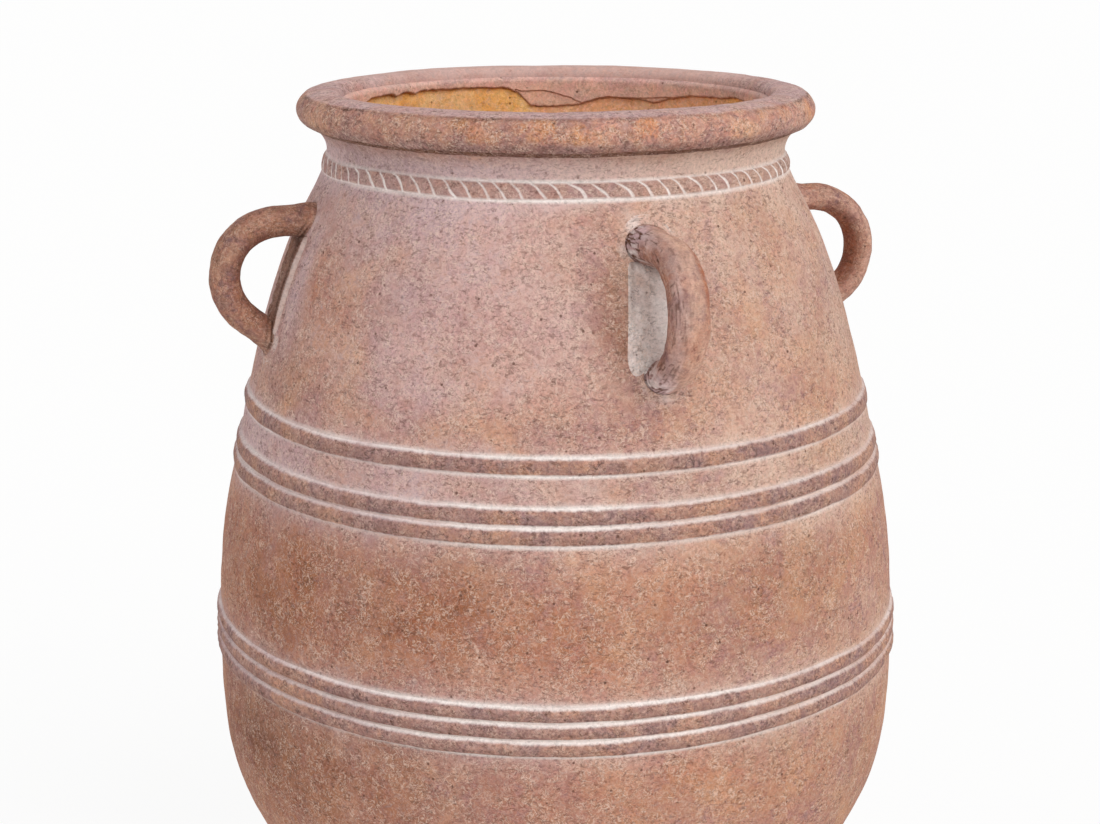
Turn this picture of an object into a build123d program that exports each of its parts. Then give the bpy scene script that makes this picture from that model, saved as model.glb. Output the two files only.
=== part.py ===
from build123d import *
import math
import os

os.makedirs("parts", exist_ok=True)

# A large four-handled storage jar, raised from a flat disc in five rings of clay.
# Sizes are in millimetres. Heights run up from the ground, radii out from the jar's axis.
# The handles point along +X, -X, +Y and -Y.

# Height of each ring of the wall, from the ground up
base_thickness = 28.0
foot_ring_height = 217.0
lower_ring_height = 217.5
belly_ring_height = 191.5
shoulder_ring_height = 275.5
neck_ring_height = 36.5
rim_height = 34.0

# Governing radii and wall
foot_radius = 158.0
widest_radius = 345.2
mouth_radius = 205.0
wall = 20.0
neck_wall = 16.0
lining_thickness = 5.0
lining_depth = 46.0
seam_drop = 9.0

# Outer face below the widest point: how full each station is, from the foot (0) to the widest (1)
foot_lean = 32.0
stem_rise = 100.0
stem_fullness = 0.438
foot_ring_fullness = 0.7826
swell_rise = 64.5
swell_fullness = 0.9375
widest_rise = 143.0

# Outer face above it: how full each station is, from the neck's waist (0) to the widest (1)
upper_belly_rise = 102.0
upper_belly_fullness = 0.9413
belly_ring_fullness = 0.7928
low_shoulder_rise = 76.0
low_shoulder_fullness = 0.6502
mid_shoulder_rise = 136.0
mid_shoulder_fullness = 0.5117
high_shoulder_drop = 39.0
high_shoulder_fullness = 0.1695
neck_foot_drop = 8.5
neck_foot_fullness = 0.0403
waist_rise = 11.5

# Rim: a rolled bead that overhangs the neck's waist
rim_flare = 21.0
rim_overhang = 28.5
rim_nose_rise = 15.5
rim_shoulder_set_in = 10.0
rim_shoulder_drop = 2.5
rim_top_set_in = 20.5
rim_inner_round = 10.0

# Ribs: round strips pressed over the seams; each stands proud of the wall
rib_gap = 1.0
lower_rib_count = 3
lower_rib_height = 15.3
lower_rib_proud = 4.3
upper_rib_height = 16.3
upper_rib_proud = 3.6
shoulder_rib_rise = 43.6
shoulder_rib_height = 17.0
shoulder_rib_proud = 3.6
rope_height = 15.5
rope_proud = 3.5

# Handles: an oval strap that leaves the wall level, bows down and comes back to the wall
handle_count = 4
handle_width = 38.5
handle_thickness = 32.0
handle_drop = 47.5
handle_reach = 29.5
handle_bow_radius = 55.6
handle_bow_angle = 185.0
handle_foot_run = 60.0
handle_root_depth = 12.0

# Backing strips on the wall between the two roots of each handle
strip_width = 43.0
strip_thickness = 4.5
strip_root_lap = 4.0
strip_foot_gap = 16.0

# Torn lower edge of the lining: rounded bites, uneven in width, height and spacing
tear_count = 9
tear_width = 58.0
tear_height = 13.0
tear_unevenness = 0.35

# Heights and radii that follow from these
foot_seam = base_thickness
lower_seam = foot_seam + foot_ring_height
belly_seam = lower_seam + lower_ring_height
shoulder_seam = belly_seam + belly_ring_height
neck_seam = shoulder_seam + shoulder_ring_height
rim_seam = neck_seam + neck_ring_height
total_height = rim_seam + rim_height
waist_height = neck_seam + waist_rise
bore_radius = mouth_radius + lining_thickness
waist_radius = bore_radius + neck_wall
rim_seam_radius = waist_radius + rim_flare
rim_radius = waist_radius + rim_overhang
high_shoulder_height = neck_seam - high_shoulder_drop
far_out = 2 * total_height
quarter_turn = 90


def lower_radius(fullness):
    """Radius of the outer face at a station below the widest point."""
    return foot_radius + fullness * (widest_radius - foot_radius)


def upper_radius(fullness):
    """Radius of the outer face at a station above the widest point."""
    return waist_radius + fullness * (widest_radius - waist_radius)


# Outer face in the section plane, from the ground to the waist of the neck
foot_tangent = (math.sin(math.radians(foot_lean)), math.cos(math.radians(foot_lean)))
upright = (0, 1)
section_plane = Plane.XZ
outer_face = Spline(
    (foot_radius, 0),
    (lower_radius(stem_fullness), foot_seam + stem_rise),
    (lower_radius(foot_ring_fullness), lower_seam),
    (lower_radius(swell_fullness), lower_seam + swell_rise),
    (widest_radius, lower_seam + widest_rise),
    (widest_radius, belly_seam),
    (upper_radius(upper_belly_fullness), belly_seam + upper_belly_rise),
    (upper_radius(belly_ring_fullness), shoulder_seam),
    (upper_radius(low_shoulder_fullness), shoulder_seam + low_shoulder_rise),
    (upper_radius(mid_shoulder_fullness), shoulder_seam + mid_shoulder_rise),
    (upper_radius(high_shoulder_fullness), high_shoulder_height),
    (upper_radius(neck_foot_fullness), neck_seam - neck_foot_drop),
    (waist_radius, waist_height),
    tangents=(foot_tangent, upright),
)


def wall_point(height):
    """Point of the outer face at a height."""
    level = Axis((0, height, 0), (1, 0, 0))
    return outer_face.find_intersection_points(level)[0]


def wall_radius(height):
    """Radius of the outer face at a height."""
    return wall_point(height).X


def wall_tangent(height):
    """Direction of the outer face at a height, upward."""
    return outer_face.tangent_at(outer_face.param_at_point(wall_point(height)))


def wall_lean(height):
    """Angle in degrees by which the outer face leans outward from the vertical at a height."""
    direction = wall_tangent(height)
    return math.degrees(math.atan2(direction.X, direction.Y))


def wall_stretch(low, high, shift):
    """The outer face between two heights, moved out by a shift of its radius."""
    piece = outer_face.trim(wall_point(low), wall_point(high))
    return piece.moved(Location((shift, 0, 0)))


# Inner face: the outer one set in by the wall, then eased out to the bore of the neck
inner_face = wall_stretch(base_thickness, high_shoulder_height, -wall)
neck_ease = Spline(
    inner_face @ 1,
    (bore_radius, waist_height),
    tangents=(wall_tangent(high_shoulder_height), upright),
)

# Section of the whole jar, from its axis out, which every ring is cut from
with BuildSketch() as jar_section:
    with BuildLine():
        Line((0, 0), (foot_radius, 0))
        add(outer_face)
        cove = TangentArc((waist_radius, waist_height), (rim_seam_radius, rim_seam), tangent=upright)
        nose = ThreePointArc(
            cove @ 1,
            (rim_radius, rim_seam + rim_nose_rise),
            (rim_radius - rim_shoulder_set_in, total_height - rim_shoulder_drop),
        )
        crown = Line(nose @ 1, (rim_radius - rim_top_set_in, total_height))
        top = Line(crown @ 1, (bore_radius + rim_inner_round, total_height))
        lip = TangentArc(top @ 1, (bore_radius, total_height - rim_inner_round), tangent=(-1, 0))
        Line(lip @ 1, neck_ease @ 1)
        add(neck_ease)
        add(inner_face)
        Line(inner_face @ 0, (0, base_thickness))
        Line((0, base_thickness), (0, 0))
    make_face()

# Section of the jar filled solid to its axis, which cuts whatever lies against the wall
with BuildSketch() as solid_section:
    with BuildLine():
        add(outer_face)
        Polyline((waist_radius, waist_height), (0, waist_height), (0, 0), (foot_radius, 0))
    make_face()

with BuildPart() as jar_solid:
    with BuildSketch(section_plane):
        add(solid_section.sketch)
    revolve(axis=Axis.Z)


def seam_line(radius, height):
    """A seam from the axis out: level, then slanted up through a point of the wall, then level."""
    reach = 3 * wall
    drop = reach * seam_drop / wall
    return [
        (0, height - drop),
        (radius - reach, height - drop),
        (radius + reach, height + drop),
        (far_out, height + drop),
    ]


def level_line(height):
    """A level cut from the axis out."""
    return [(0, height), (far_out, height)]


def keep(piece, name):
    """Labels a finished piece and writes it."""
    piece.part.label = name
    export_step(piece.part, f"parts/{name}.step")


# The seams of the wall, from the ground to above the rim
seams = [
    level_line(0),
    level_line(foot_seam),
    seam_line(wall_radius(lower_seam), lower_seam),
    seam_line(wall_radius(belly_seam), belly_seam),
    seam_line(wall_radius(shoulder_seam), shoulder_seam),
    seam_line(wall_radius(neck_seam), neck_seam),
    seam_line(rim_seam_radius, rim_seam),
    level_line(far_out),
]
rings = [
    "base_disc",
    "foot_ring",
    "lower_body_ring",
    "belly_ring",
    "shoulder_ring",
    "neck_ring",
    "rim",
]

# Base disc, five rings of wall and the rim, each between two seams
for name, lower_cut, upper_cut in zip(rings, seams[:-1], seams[1:]):
    with BuildPart() as ring:
        with BuildSketch(section_plane):
            add(jar_section.sketch)
            with BuildLine():
                Polyline(*lower_cut, *reversed(upper_cut), close=True)
            make_face(mode=Mode.INTERSECT)
        revolve(axis=Axis.Z)
    keep(ring, name)

# Lining: a smooth band of clay inside the mouth, with a torn lower edge
with BuildPart() as mouth_lining:
    with BuildSketch(section_plane):
        with BuildLine():
            lining_top = total_height - rim_inner_round
            lining_foot = total_height - lining_depth
            back = Line((bore_radius, lining_foot), (bore_radius, lining_top))
            edge = TangentArc(back @ 1, (mouth_radius, lining_top - lining_thickness), tangent=(-1, 0))
            front = Line(edge @ 1, (mouth_radius, lining_foot))
            Line(front @ 1, back @ 0)
        make_face()
    revolve(axis=Axis.Z)
    for index in range(tear_count):
        turn = index + tear_unevenness * math.sin(index * tear_count)
        azimuth = turn * math.tau / tear_count
        bite_width = tear_width * (1 + tear_unevenness * math.sin(index * index))
        bite_height = tear_height * (1 + tear_unevenness * math.cos(index * index))
        outward = Plane(
            origin=(0, 0, lining_foot),
            x_dir=(-math.sin(azimuth), math.cos(azimuth), 0),
            z_dir=(math.cos(azimuth), math.sin(azimuth), 0),
        )
        with BuildSketch(outward.offset(mouth_radius / 2)):
            Ellipse(bite_width / 2, bite_height)
        extrude(amount=mouth_radius, mode=Mode.SUBTRACT)
keep(mouth_lining, "mouth_lining")


def strip_ring(height, strip_height, proud):
    """A round strip that runs round the jar, bedded on the wall at a height."""
    with BuildPart() as strip:
        with BuildSketch(section_plane):
            with Locations((wall_radius(height), height)):
                Ellipse(proud, strip_height / 2, rotation=-wall_lean(height))
            add(solid_section.sketch, mode=Mode.SUBTRACT)
        revolve(axis=Axis.Z)
    return strip


# Three ribs over the belly seam, the middle one on it
for index in range(lower_rib_count):
    steps_up = (lower_rib_count - 1) / 2 - index
    rib_height = belly_seam + steps_up * (lower_rib_height + rib_gap)
    rib = strip_ring(rib_height, lower_rib_height, lower_rib_proud)
    keep(rib, f"lower_rib_{index + 1}")

# Two ribs at the shoulder seam, the upper one on it, and a single rib above them
upper_rib_1 = strip_ring(shoulder_seam, upper_rib_height, upper_rib_proud)
keep(upper_rib_1, "upper_rib_1")

upper_rib_2_height = shoulder_seam - upper_rib_height - rib_gap
upper_rib_2 = strip_ring(upper_rib_2_height, upper_rib_height, upper_rib_proud)
keep(upper_rib_2, "upper_rib_2")

shoulder_rib = strip_ring(shoulder_seam + shoulder_rib_rise, shoulder_rib_height, shoulder_rib_proud)
keep(shoulder_rib, "shoulder_rib")

# The rope band over the neck seam
rope_band = strip_ring(neck_seam, rope_height, rope_proud)
keep(rope_band, "rope_band")

# Handles and the strips between their roots
handle_top = neck_seam - handle_drop
bow_centre_radius = wall_radius(handle_top) + handle_reach
bow_centre_height = handle_top - handle_bow_radius
overturn = math.radians(handle_bow_angle - 2 * quarter_turn)
bow_foot = bow_centre_height - handle_bow_radius * math.cos(overturn)
inward_again = (-math.cos(overturn), math.sin(overturn))
strip_top = handle_top - handle_thickness / 2 + strip_root_lap
strip_bottom = bow_foot + handle_thickness / 2 + strip_foot_gap
face = wall_stretch(strip_bottom, strip_top, strip_thickness)
bed = wall_stretch(strip_bottom, strip_top, -wall / 2)
sides = ["right", "back", "left", "front"]

for index in range(handle_count):
    azimuth = index * math.tau / handle_count
    radial = (math.cos(azimuth), math.sin(azimuth), 0)
    across = (math.sin(azimuth), -math.cos(azimuth), 0)
    side_plane = Plane(origin=(0, 0, 0), x_dir=radial, z_dir=across)

    with BuildPart() as handle:
        with BuildLine(side_plane) as bow:
            level_run = Line(
                (wall_radius(handle_top) - handle_root_depth, handle_top),
                (bow_centre_radius, handle_top),
            )
            CenterArc(
                (bow_centre_radius, bow_centre_height),
                handle_bow_radius,
                quarter_turn,
                -handle_bow_angle,
            )
            PolarLine(
                (bow_centre_radius - handle_bow_radius * math.sin(overturn), bow_foot),
                handle_foot_run,
                direction=inward_again,
            )
        with BuildSketch(Plane(origin=level_run @ 0, x_dir=across, z_dir=radial)):
            Ellipse(handle_width / 2, handle_thickness / 2)
        sweep(path=bow.line)
        add(jar_solid.part, mode=Mode.SUBTRACT)
    keep(handle, f"handle_{sides[index]}")

    with BuildPart() as strip:
        with BuildSketch(side_plane):
            with BuildLine():
                add(face)
                add(bed)
                Line(bed @ 0, face @ 0)
                Line(bed @ 1, face @ 1)
            make_face()
        extrude(amount=strip_width / 2, both=True)
        add(jar_solid.part, mode=Mode.SUBTRACT)
        add(handle.part, mode=Mode.SUBTRACT)
    keep(strip, f"handle_strip_{sides[index]}")
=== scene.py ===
"""A large four-handled terracotta storage jar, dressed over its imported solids.

The jar is one fired piece of coarse red clay: rings of wall, round ribs over the seams, a
rope-marked band under a rolled rim, four loop handles, and lime wash rubbed into every crevice.
Each kind of piece is a class here that builds its own mesh, and each clay finish is a frozen
dataclass that makes its own material. Sizes are in millimetres until a mesh is made.
"""

import logging
import math
from abc import ABC, abstractmethod
from dataclasses import dataclass, field
from enum import Enum
from functools import cache, cached_property
from typing import Any, ClassVar, NamedTuple

import bpy
import numpy as np
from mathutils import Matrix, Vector

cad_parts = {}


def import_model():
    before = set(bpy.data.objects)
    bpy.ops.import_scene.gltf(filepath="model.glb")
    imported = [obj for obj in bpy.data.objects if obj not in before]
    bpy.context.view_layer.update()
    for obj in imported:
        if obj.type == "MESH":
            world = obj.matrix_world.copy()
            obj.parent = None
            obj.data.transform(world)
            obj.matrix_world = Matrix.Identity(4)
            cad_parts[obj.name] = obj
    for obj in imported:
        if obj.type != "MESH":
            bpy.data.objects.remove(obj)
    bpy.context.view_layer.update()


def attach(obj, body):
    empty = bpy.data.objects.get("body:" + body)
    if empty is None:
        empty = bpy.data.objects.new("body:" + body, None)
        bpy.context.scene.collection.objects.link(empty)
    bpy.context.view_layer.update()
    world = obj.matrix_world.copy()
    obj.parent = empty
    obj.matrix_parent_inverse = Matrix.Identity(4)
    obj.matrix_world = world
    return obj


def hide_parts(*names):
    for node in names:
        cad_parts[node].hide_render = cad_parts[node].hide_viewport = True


log = logging.getLogger("pithos")

METRES_PER_MM = 0.001
FULL_TURN = 360.0

# What is painted on a mesh for its material to read: thin wash, how cool it is (on the wall and
# ribs a painted cool shade), thick lime, iron, soot and painted shade, and how far the grit is
# smoothed away. Each goes from 0 to 1.
PAINTS = ("haze", "lilac", "lime", "ember", "soot_and_shade", "smooth")

Points = np.ndarray
Field = np.ndarray
Paint = dict[str, Field]
Colour = tuple[float, float, float, float]
Tree = bpy.types.NodeTree
Node = bpy.types.Node
Socket = bpy.types.NodeSocket
Feed = Node | Socket | float | str | tuple[float, ...]
Inputs = dict[str | int, Feed] | tuple[Feed, ...]

# How the nodes that a finish uses most are set, and the numbers of a mix's colour inputs. A
# smooth range takes a value, the two ends that it runs between and what it gives at each.
SMOOTH_RANGE = {"interpolation_type": "SMOOTHSTEP"}
TIMES_PLUS = {"operation": "MULTIPLY_ADD"}
LESS_HELD = {"operation": "SUBTRACT", "use_clamp": True}
MIX = {"data_type": "RGBA"}
UNDER, OVER = 6, 7
WHITE = "#FFFFFF"

# Large numbers that scatter whole-number cells over all 32-bit values, for the random fields.
CELL_PRIMES = (73856093, 19349663, 83492791)
SEED_PRIME = 2654435761
MIXER = 0x45D9F3B
ALL_BITS = 0xFFFFFFFF


class Slot(Enum):
    """The record's material slots."""

    BODY = "body_clay"
    NECK = "neck_clay"
    RIM = "rim_clay"
    RIB = "rib_clay"
    HANDLE = "handle_clay"
    LINING = "lining_clay"


class Side(Enum):
    """The four handles, with the azimuth in degrees that each points along."""

    RIGHT = 0.0
    BACK = 90.0
    LEFT = 180.0
    FRONT = 270.0


class Station(NamedTuple):
    """A point of the jar's outline.

    Attributes:
        radius: its distance from the axis in mm.
        height: its height over the ground in mm.
    """

    radius: float
    height: float


# Colours and fields


def linear(hex_colour: str) -> Colour:
    """Turns an sRGB hex colour to the linear values that a shader takes.

    Args:
        hex_colour: six hex digits after a #.

    Returns:
        Red, green, blue and an alpha of 1.
    """
    parts = [int(hex_colour[i : i + 2], 16) / 255 for i in (1, 3, 5)]
    red, green, blue = [c / 12.92 if c <= 0.04045 else ((c + 0.055) / 1.055) ** 2.4 for c in parts]
    return red, green, blue, 1.0


def smooth_step(low: float, high: float, value: Field) -> Field:
    """Rises smoothly from 0 at low to 1 at high."""
    t = np.clip((value - low) / (high - low), 0, 1)
    return t * t * (3 - 2 * t)


def azimuth_of(points: Points) -> Field:
    """Azimuth of each point in degrees, counter-clockwise from +X."""
    return np.degrees(np.arctan2(points[..., 1], points[..., 0])) % FULL_TURN


def angle_apart(azimuth: Field, centre: float) -> Field:
    """Signed angle in degrees from a centre azimuth, from -180 to 180."""
    return (azimuth - centre + 180) % FULL_TURN - 180


@dataclass(frozen=True)
class Grain:
    """A smooth random field through space, the same on every run.

    Attributes:
        size: the distance in mm over which the field changes.
        seed: a whole number that picks one field of the many.
        octaves: how many finer copies are added, each half the size and strength.
    """

    size: float
    seed: int
    octaves: int = 1

    def at(self, points: Points) -> Field:
        """Works the field out at points.

        Args:
            points: points of any shape that ends in x, y, z.

        Returns:
            Values from about -1 to 1, of that shape without its last axis.
        """
        flat = points.reshape(-1, 3)
        total = np.zeros(len(flat))
        reach = 0.0
        for octave in range(self.octaves):
            weight = 0.5**octave
            total += weight * self._layer(flat * 2**octave / self.size, self.seed + 101 * octave)
            reach += weight
        # Blending draws the values toward 0, so they are stretched again.
        return (1.7 * total / reach).reshape(points.shape[:-1])

    def _layer(self, spots: Points, seed: int) -> Field:
        """One octave: random values at whole-number corners, blended between them.

        Args:
            spots: points, counted in cells.
            seed: picks the octave's values.

        Returns:
            A value from -1 to 1 at each point.
        """
        base = np.floor(spots).astype(np.int64)
        part = spots - base
        part = part**3 * (part * (part * 6 - 15) + 10)
        total = np.zeros(len(spots))
        for corner in np.ndindex(2, 2, 2):
            weight = np.ones(len(spots))
            for axis in range(3):
                weight *= part[:, axis] if corner[axis] else 1 - part[:, axis]
            total += weight * self._corner(base + np.array(corner), seed)
        return total

    @staticmethod
    def _corner(cells: np.ndarray, seed: int) -> Field:
        """Draws a random value for each whole-number cell.

        Args:
            cells: the cells' whole numbers along x, y and z.
            seed: picks the values.

        Returns:
            A value from -1 to 1 for each cell.
        """
        mixed = (cells * CELL_PRIMES).astype(np.int64)
        mixed = (mixed[:, 0] ^ mixed[:, 1] ^ mixed[:, 2] ^ seed * SEED_PRIME) & ALL_BITS
        for _ in range(2):
            mixed = ((mixed >> 16 ^ mixed) * MIXER) & ALL_BITS
        return (mixed >> 16 ^ mixed) / (ALL_BITS / 2) - 1


# Finishes


def add_node(tree: Tree, kind: str, settings: dict[str, Any], inputs: Inputs) -> Node:
    """Adds one node, sets it up and links it.

    Args:
        tree: the node tree.
        kind: the node's type name, after ShaderNode.
        settings: its properties.
        inputs: what goes into it, in the order of its inputs or by their names or numbers. Each
            is a value, an sRGB hex colour, a socket, or a node that feeds it with its result.

    Returns:
        The new node.
    """
    made = tree.nodes.new(f"ShaderNode{kind}")
    for key, value in settings.items():
        setattr(made, key, value)
    for key, value in inputs.items() if isinstance(inputs, dict) else enumerate(inputs):
        if isinstance(value, Node):
            value = next(socket for socket in value.outputs if socket.enabled)
        if isinstance(value, Socket):
            tree.links.new(value, made.inputs[key])
        else:
            made.inputs[key].default_value = linear(value) if isinstance(value, str) else value
    return made


@dataclass(frozen=True)
class FiredClay:
    """Coarse red earthenware, hand-raised, fired and rubbed with lime.

    The eye sees a dry matt skin: sandy grit, short pale worm-like drags where grit was pulled
    under the hand, level dark scratches, dark pits, patches that were rubbed calm, mauve, rose
    and peach clouds as wide as a hand, a lilac haze of thin wash, and chalky lime in the places
    that the rag missed. The real grit is 1 to 2 mm across, and the drags and scratches are finer
    still: too fine to show in the render, so all three are drawn as coarse as they need to show.

    Attributes:
        name: what the finish is, for the material's name.
        mauve: the clay's coolest and darkest cloud colour.
        flesh: its usual colour.
        peach: its palest and warmest cloud colour.
        warm: the colour where iron shows.
        haze: the thin wash.
        lilac: the thin wash where it lies cool.
        lime: the thick wash.
        pale: the drags.
        burnt: the colour of soot and painted shade, burnt grains, scratches, pits and cracks.
        cloud_mm: width of the colour clouds.
        mottle_mm: width of the blotches within them.
        grit_mm: width of a grain of grit, drawn about twice as coarse as the real one.
        grit_contrast: how far grains are lighter and darker than the clay.
        drag_mm: width between the pale drags.
        drag_strength: how pale they are.
        speck_strength: how dark the burnt grains are.
        scratch_mm: width of the field between scratches.
        scratch_draw: how many times longer than high a scratch is.
        scratch_strength: how dark scratches are.
        calm: how far the grit is rubbed away in calm patches.
        pit_mm: usual distance between pits.
        relief_mm: height of the grit.
        crack_mm: width of the field between cracks, or 0 for none.
        roughness: of the dry surface.
        gloss: how strongly the surface reflects, where 0.5 is usual and dry open clay has less.
    """

    name: str
    mauve: str = "#AC7D74"
    flesh: str = "#BB8871"
    peach: str = "#CD9A76"
    warm: str = "#BA754E"
    haze: str = "#DDBDAC"
    lilac: str = "#D1B3B6"
    lime: str = "#F4EBE6"
    pale: str = "#E6C9B9"
    burnt: str = "#57382C"
    cloud_mm: float = 70.0
    mottle_mm: float = 14.0
    grit_mm: float = 3.1
    grit_contrast: float = 0.19
    drag_mm: float = 5.0
    drag_strength: float = 0.58
    speck_strength: float = 0.30
    scratch_mm: float = 5.5
    scratch_draw: float = 1.9
    scratch_strength: float = 0.46
    calm: float = 0.55
    pit_mm: float = 15.0
    relief_mm: float = 1.0
    crack_mm: float = 0.0
    roughness: float = 0.93
    gloss: float = 0.2

    def material(self) -> bpy.types.Material:
        """Makes the finish's material, which reads what is painted on a mesh.

        Returns:
            The material.
        """
        made = bpy.data.materials.new(self.name)
        made.use_nodes = True
        tree = made.node_tree
        tree.nodes.clear()
        place = add_node(tree, "TexCoord", {}, ()).outputs["Object"]
        painted = {
            key: add_node(tree, "Attribute", {"attribute_name": key}, ()).outputs["Fac"] for key in PAINTS
        }
        noise = self._noise(tree, place)
        washed = self._washed(tree, noise, painted)
        marked, height = self._marked(tree, place, noise, painted, washed)
        calm = add_node(tree, "MapRange", SMOOTH_RANGE, (noise["patches"], 0.48, 0.62, 0.0, self.calm))
        smooth = add_node(tree, "Math", {"operation": "MAXIMUM"}, (painted["smooth"], calm))
        rubbed = add_node(tree, "Math", {"operation": "MULTIPLY"}, (smooth, 0.85))
        relief = {
            "Strength": add_node(tree, "MapRange", SMOOTH_RANGE, (smooth, 0.0, 1.0, 1.0, 0.25)),
            "Distance": self.relief_mm * METRES_PER_MM,
            "Height": height,
        }
        surface = {
            "Base Color": add_node(tree, "Mix", MIX, {0: rubbed, UNDER: marked, OVER: washed}),
            "Roughness": self.roughness,
            "Specular IOR Level": self.gloss,
            "Normal": add_node(tree, "Bump", {}, relief),
        }
        shader = add_node(tree, "BsdfPrincipled", {}, surface)
        add_node(tree, "OutputMaterial", {}, {"Surface": shader})
        return made

    def _noise(self, tree: Tree, place: Socket) -> dict[str, Node]:
        """Lays out the cloudy fields that break the surface up.

        Args:
            tree: the material's node tree.
            place: where a point of the jar lies.

        Returns:
            The fields by name, each round 0.5 and of a real size.
        """
        across = (place, (1.0, 1.0, self.scratch_draw))
        drawn = add_node(tree, "VectorMath", {"operation": "MULTIPLY"}, across)
        names = "Vector", "Scale", "Detail", "Roughness", "Distortion"
        fields = {
            "clouds": (place, self.cloud_mm, 4.0, 0.62, 0.6),
            "patches": (place, 0.4 * self.cloud_mm, 2.0, 0.6, 0.8),
            "mottle": (place, self.mottle_mm, 3.0, 0.6, 0.8),
            "crumb": (place, 2 * self.grit_mm, 3.0, 0.7, 0.9),
            "grit": (place, self.grit_mm, 2.0, 0.7, 0.4),
            "drags": (place, self.drag_mm, 1.5, 0.5, 1.4),
            "scratches": (drawn, self.scratch_mm, 2.0, 0.6, 1.0),
        }
        noise = {}
        for name, (spot, width, *rest) in fields.items():
            inputs = dict(zip(names, (spot, 1 / (width * METRES_PER_MM), *rest)))
            noise[name] = add_node(tree, "TexNoise", {}, inputs)
        return noise

    def _washed(self, tree: Tree, noise: dict[str, Node], painted: dict[str, Socket]) -> Node:
        """Colours the clay, from its coolest cloud to its warmest, and lays on what is painted.

        Args:
            tree: the material's node tree.
            noise: the cloudy fields by name.
            painted: what is painted on the mesh, by name.

        Returns:
            The colour under the grit.
        """
        mottle, crumb = noise["mottle"], noise["crumb"]
        clouds = add_node(tree, "Math", TIMES_PLUS, (crumb, 0.45, noise["clouds"]))
        colour = add_node(tree, "ValToRGB", {}, (clouds,))
        ramp = colour.color_ramp
        ramp.elements[0].position, ramp.elements[0].color = 0.58, linear(self.mauve)
        ramp.elements[1].position, ramp.elements[1].color = 0.87, linear(self.peach)
        ramp.elements.new(0.725).color = linear(self.flesh)
        thin = add_node(tree, "Mix", MIX, {0: painted["lilac"], UNDER: self.haze, OVER: self.lilac})
        layers = (
            (painted["ember"], ((mottle, 1.6),), self.warm),
            (painted["haze"], ((mottle, 0.7), (crumb, 1.5)), thin),
            (painted["lime"], ((crumb, 0.8),), self.lime),
            (painted["soot_and_shade"], ((crumb, 1.2),), self.burnt),
        )
        for amount, patterns, over in layers:
            for pattern, swing in patterns:
                # Where the pattern is over 0.5 there is more of the layer, and elsewhere less.
                swung = add_node(tree, "Math", TIMES_PLUS, (pattern, swing, amount))
                amount = add_node(tree, "Math", LESS_HELD, (swung, 0.5 * swing))
            colour = add_node(tree, "Mix", MIX, {0: amount, UNDER: colour, OVER: over})
        return colour

    def _marked(
        self, tree: Tree, place: Socket, noise: dict[str, Node], painted: dict[str, Socket], washed: Node
    ) -> tuple[Node, Node]:
        """Adds grit, drags, burnt grains, scratches, pits and cracks.

        Args:
            tree: the material's node tree.
            place: where a point of the jar lies.
            noise: the cloudy fields by name.
            painted: what is painted on the mesh, by name.
            washed: the colour under the grit.

        Returns:
            The colour and the height of the gritty surface.
        """
        crumb, grit, scratches = noise["crumb"], noise["grit"], noise["scratches"]
        darkest, palest = 1 - self.grit_contrast, 1 + 0.8 * self.grit_contrast
        tint = {
            "Hue": add_node(tree, "MapRange", SMOOTH_RANGE, (noise["mottle"], 0.35, 0.65, 0.494, 0.505)),
            "Saturation": add_node(tree, "MapRange", SMOOTH_RANGE, (crumb, 0.35, 0.65, 0.86, 1.16)),
            "Value": add_node(tree, "MapRange", SMOOTH_RANGE, (grit, 0.34, 0.66, darkest, palest)),
            "Color": washed,
        }
        specks = (crumb, 0.39, 0.33, 0.0, self.speck_strength)
        dragged = (scratches, 0.54, 0.66, 0.0, self.scratch_strength)
        marks = [
            (self._drags(tree, noise), self.pale, 0.25),
            (add_node(tree, "MapRange", SMOOTH_RANGE, specks), self.burnt, 0.0),
            (add_node(tree, "MapRange", SMOOTH_RANGE, dragged), self.burnt, -0.4),
            (self._pits(tree, place), self.burnt, -0.5),
        ]
        if self.crack_mm:
            marks.append((self._cracks(tree, place, painted["soot_and_shade"]), self.burnt, -0.6))
        colour = add_node(tree, "HueSaturation", {}, tint)
        height = add_node(tree, "Math", TIMES_PLUS, (crumb, 0.6, grit))
        for amount, over, rise in marks:
            colour = add_node(tree, "Mix", MIX, {0: amount, UNDER: colour, OVER: over})
            if rise:
                height = add_node(tree, "Math", TIMES_PLUS, (amount, rise, height))
        return colour, height

    def _drags(self, tree: Tree, noise: dict[str, Node]) -> Node:
        """Short worm-like lines: where a noise crosses its middle, broken into lengths.

        Args:
            tree: the material's node tree.
            noise: the cloudy fields by name.

        Returns:
            How much of a drag there is at a point.
        """
        off = add_node(tree, "Math", {"operation": "SUBTRACT"}, (noise["drags"], 0.5))
        off = add_node(tree, "Math", {"operation": "ABSOLUTE"}, (off, 0.0))
        line = add_node(tree, "MapRange", SMOOTH_RANGE, (off, 0.06, 0.015, 0.0, self.drag_strength))
        lengths = add_node(tree, "MapRange", SMOOTH_RANGE, (noise["mottle"], 0.36, 0.60, 0.3, 1.0))
        return add_node(tree, "Math", {"operation": "MULTIPLY"}, (line, lengths))

    def _pits(self, tree: Tree, place: Socket) -> Node:
        """Dark pits where a grain burnt out, most of them tiny.

        Args:
            tree: the material's node tree.
            place: where a point of the jar lies.

        Returns:
            How much of a pit there is at a point.
        """
        inputs = {"Vector": place, "Scale": 1 / (self.pit_mm * METRES_PER_MM)}
        cells = add_node(tree, "TexVoronoi", {"feature": "F1"}, inputs)
        return add_node(tree, "MapRange", SMOOTH_RANGE, (cells, 0.11, 0.06, 0.0, 0.75))

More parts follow.
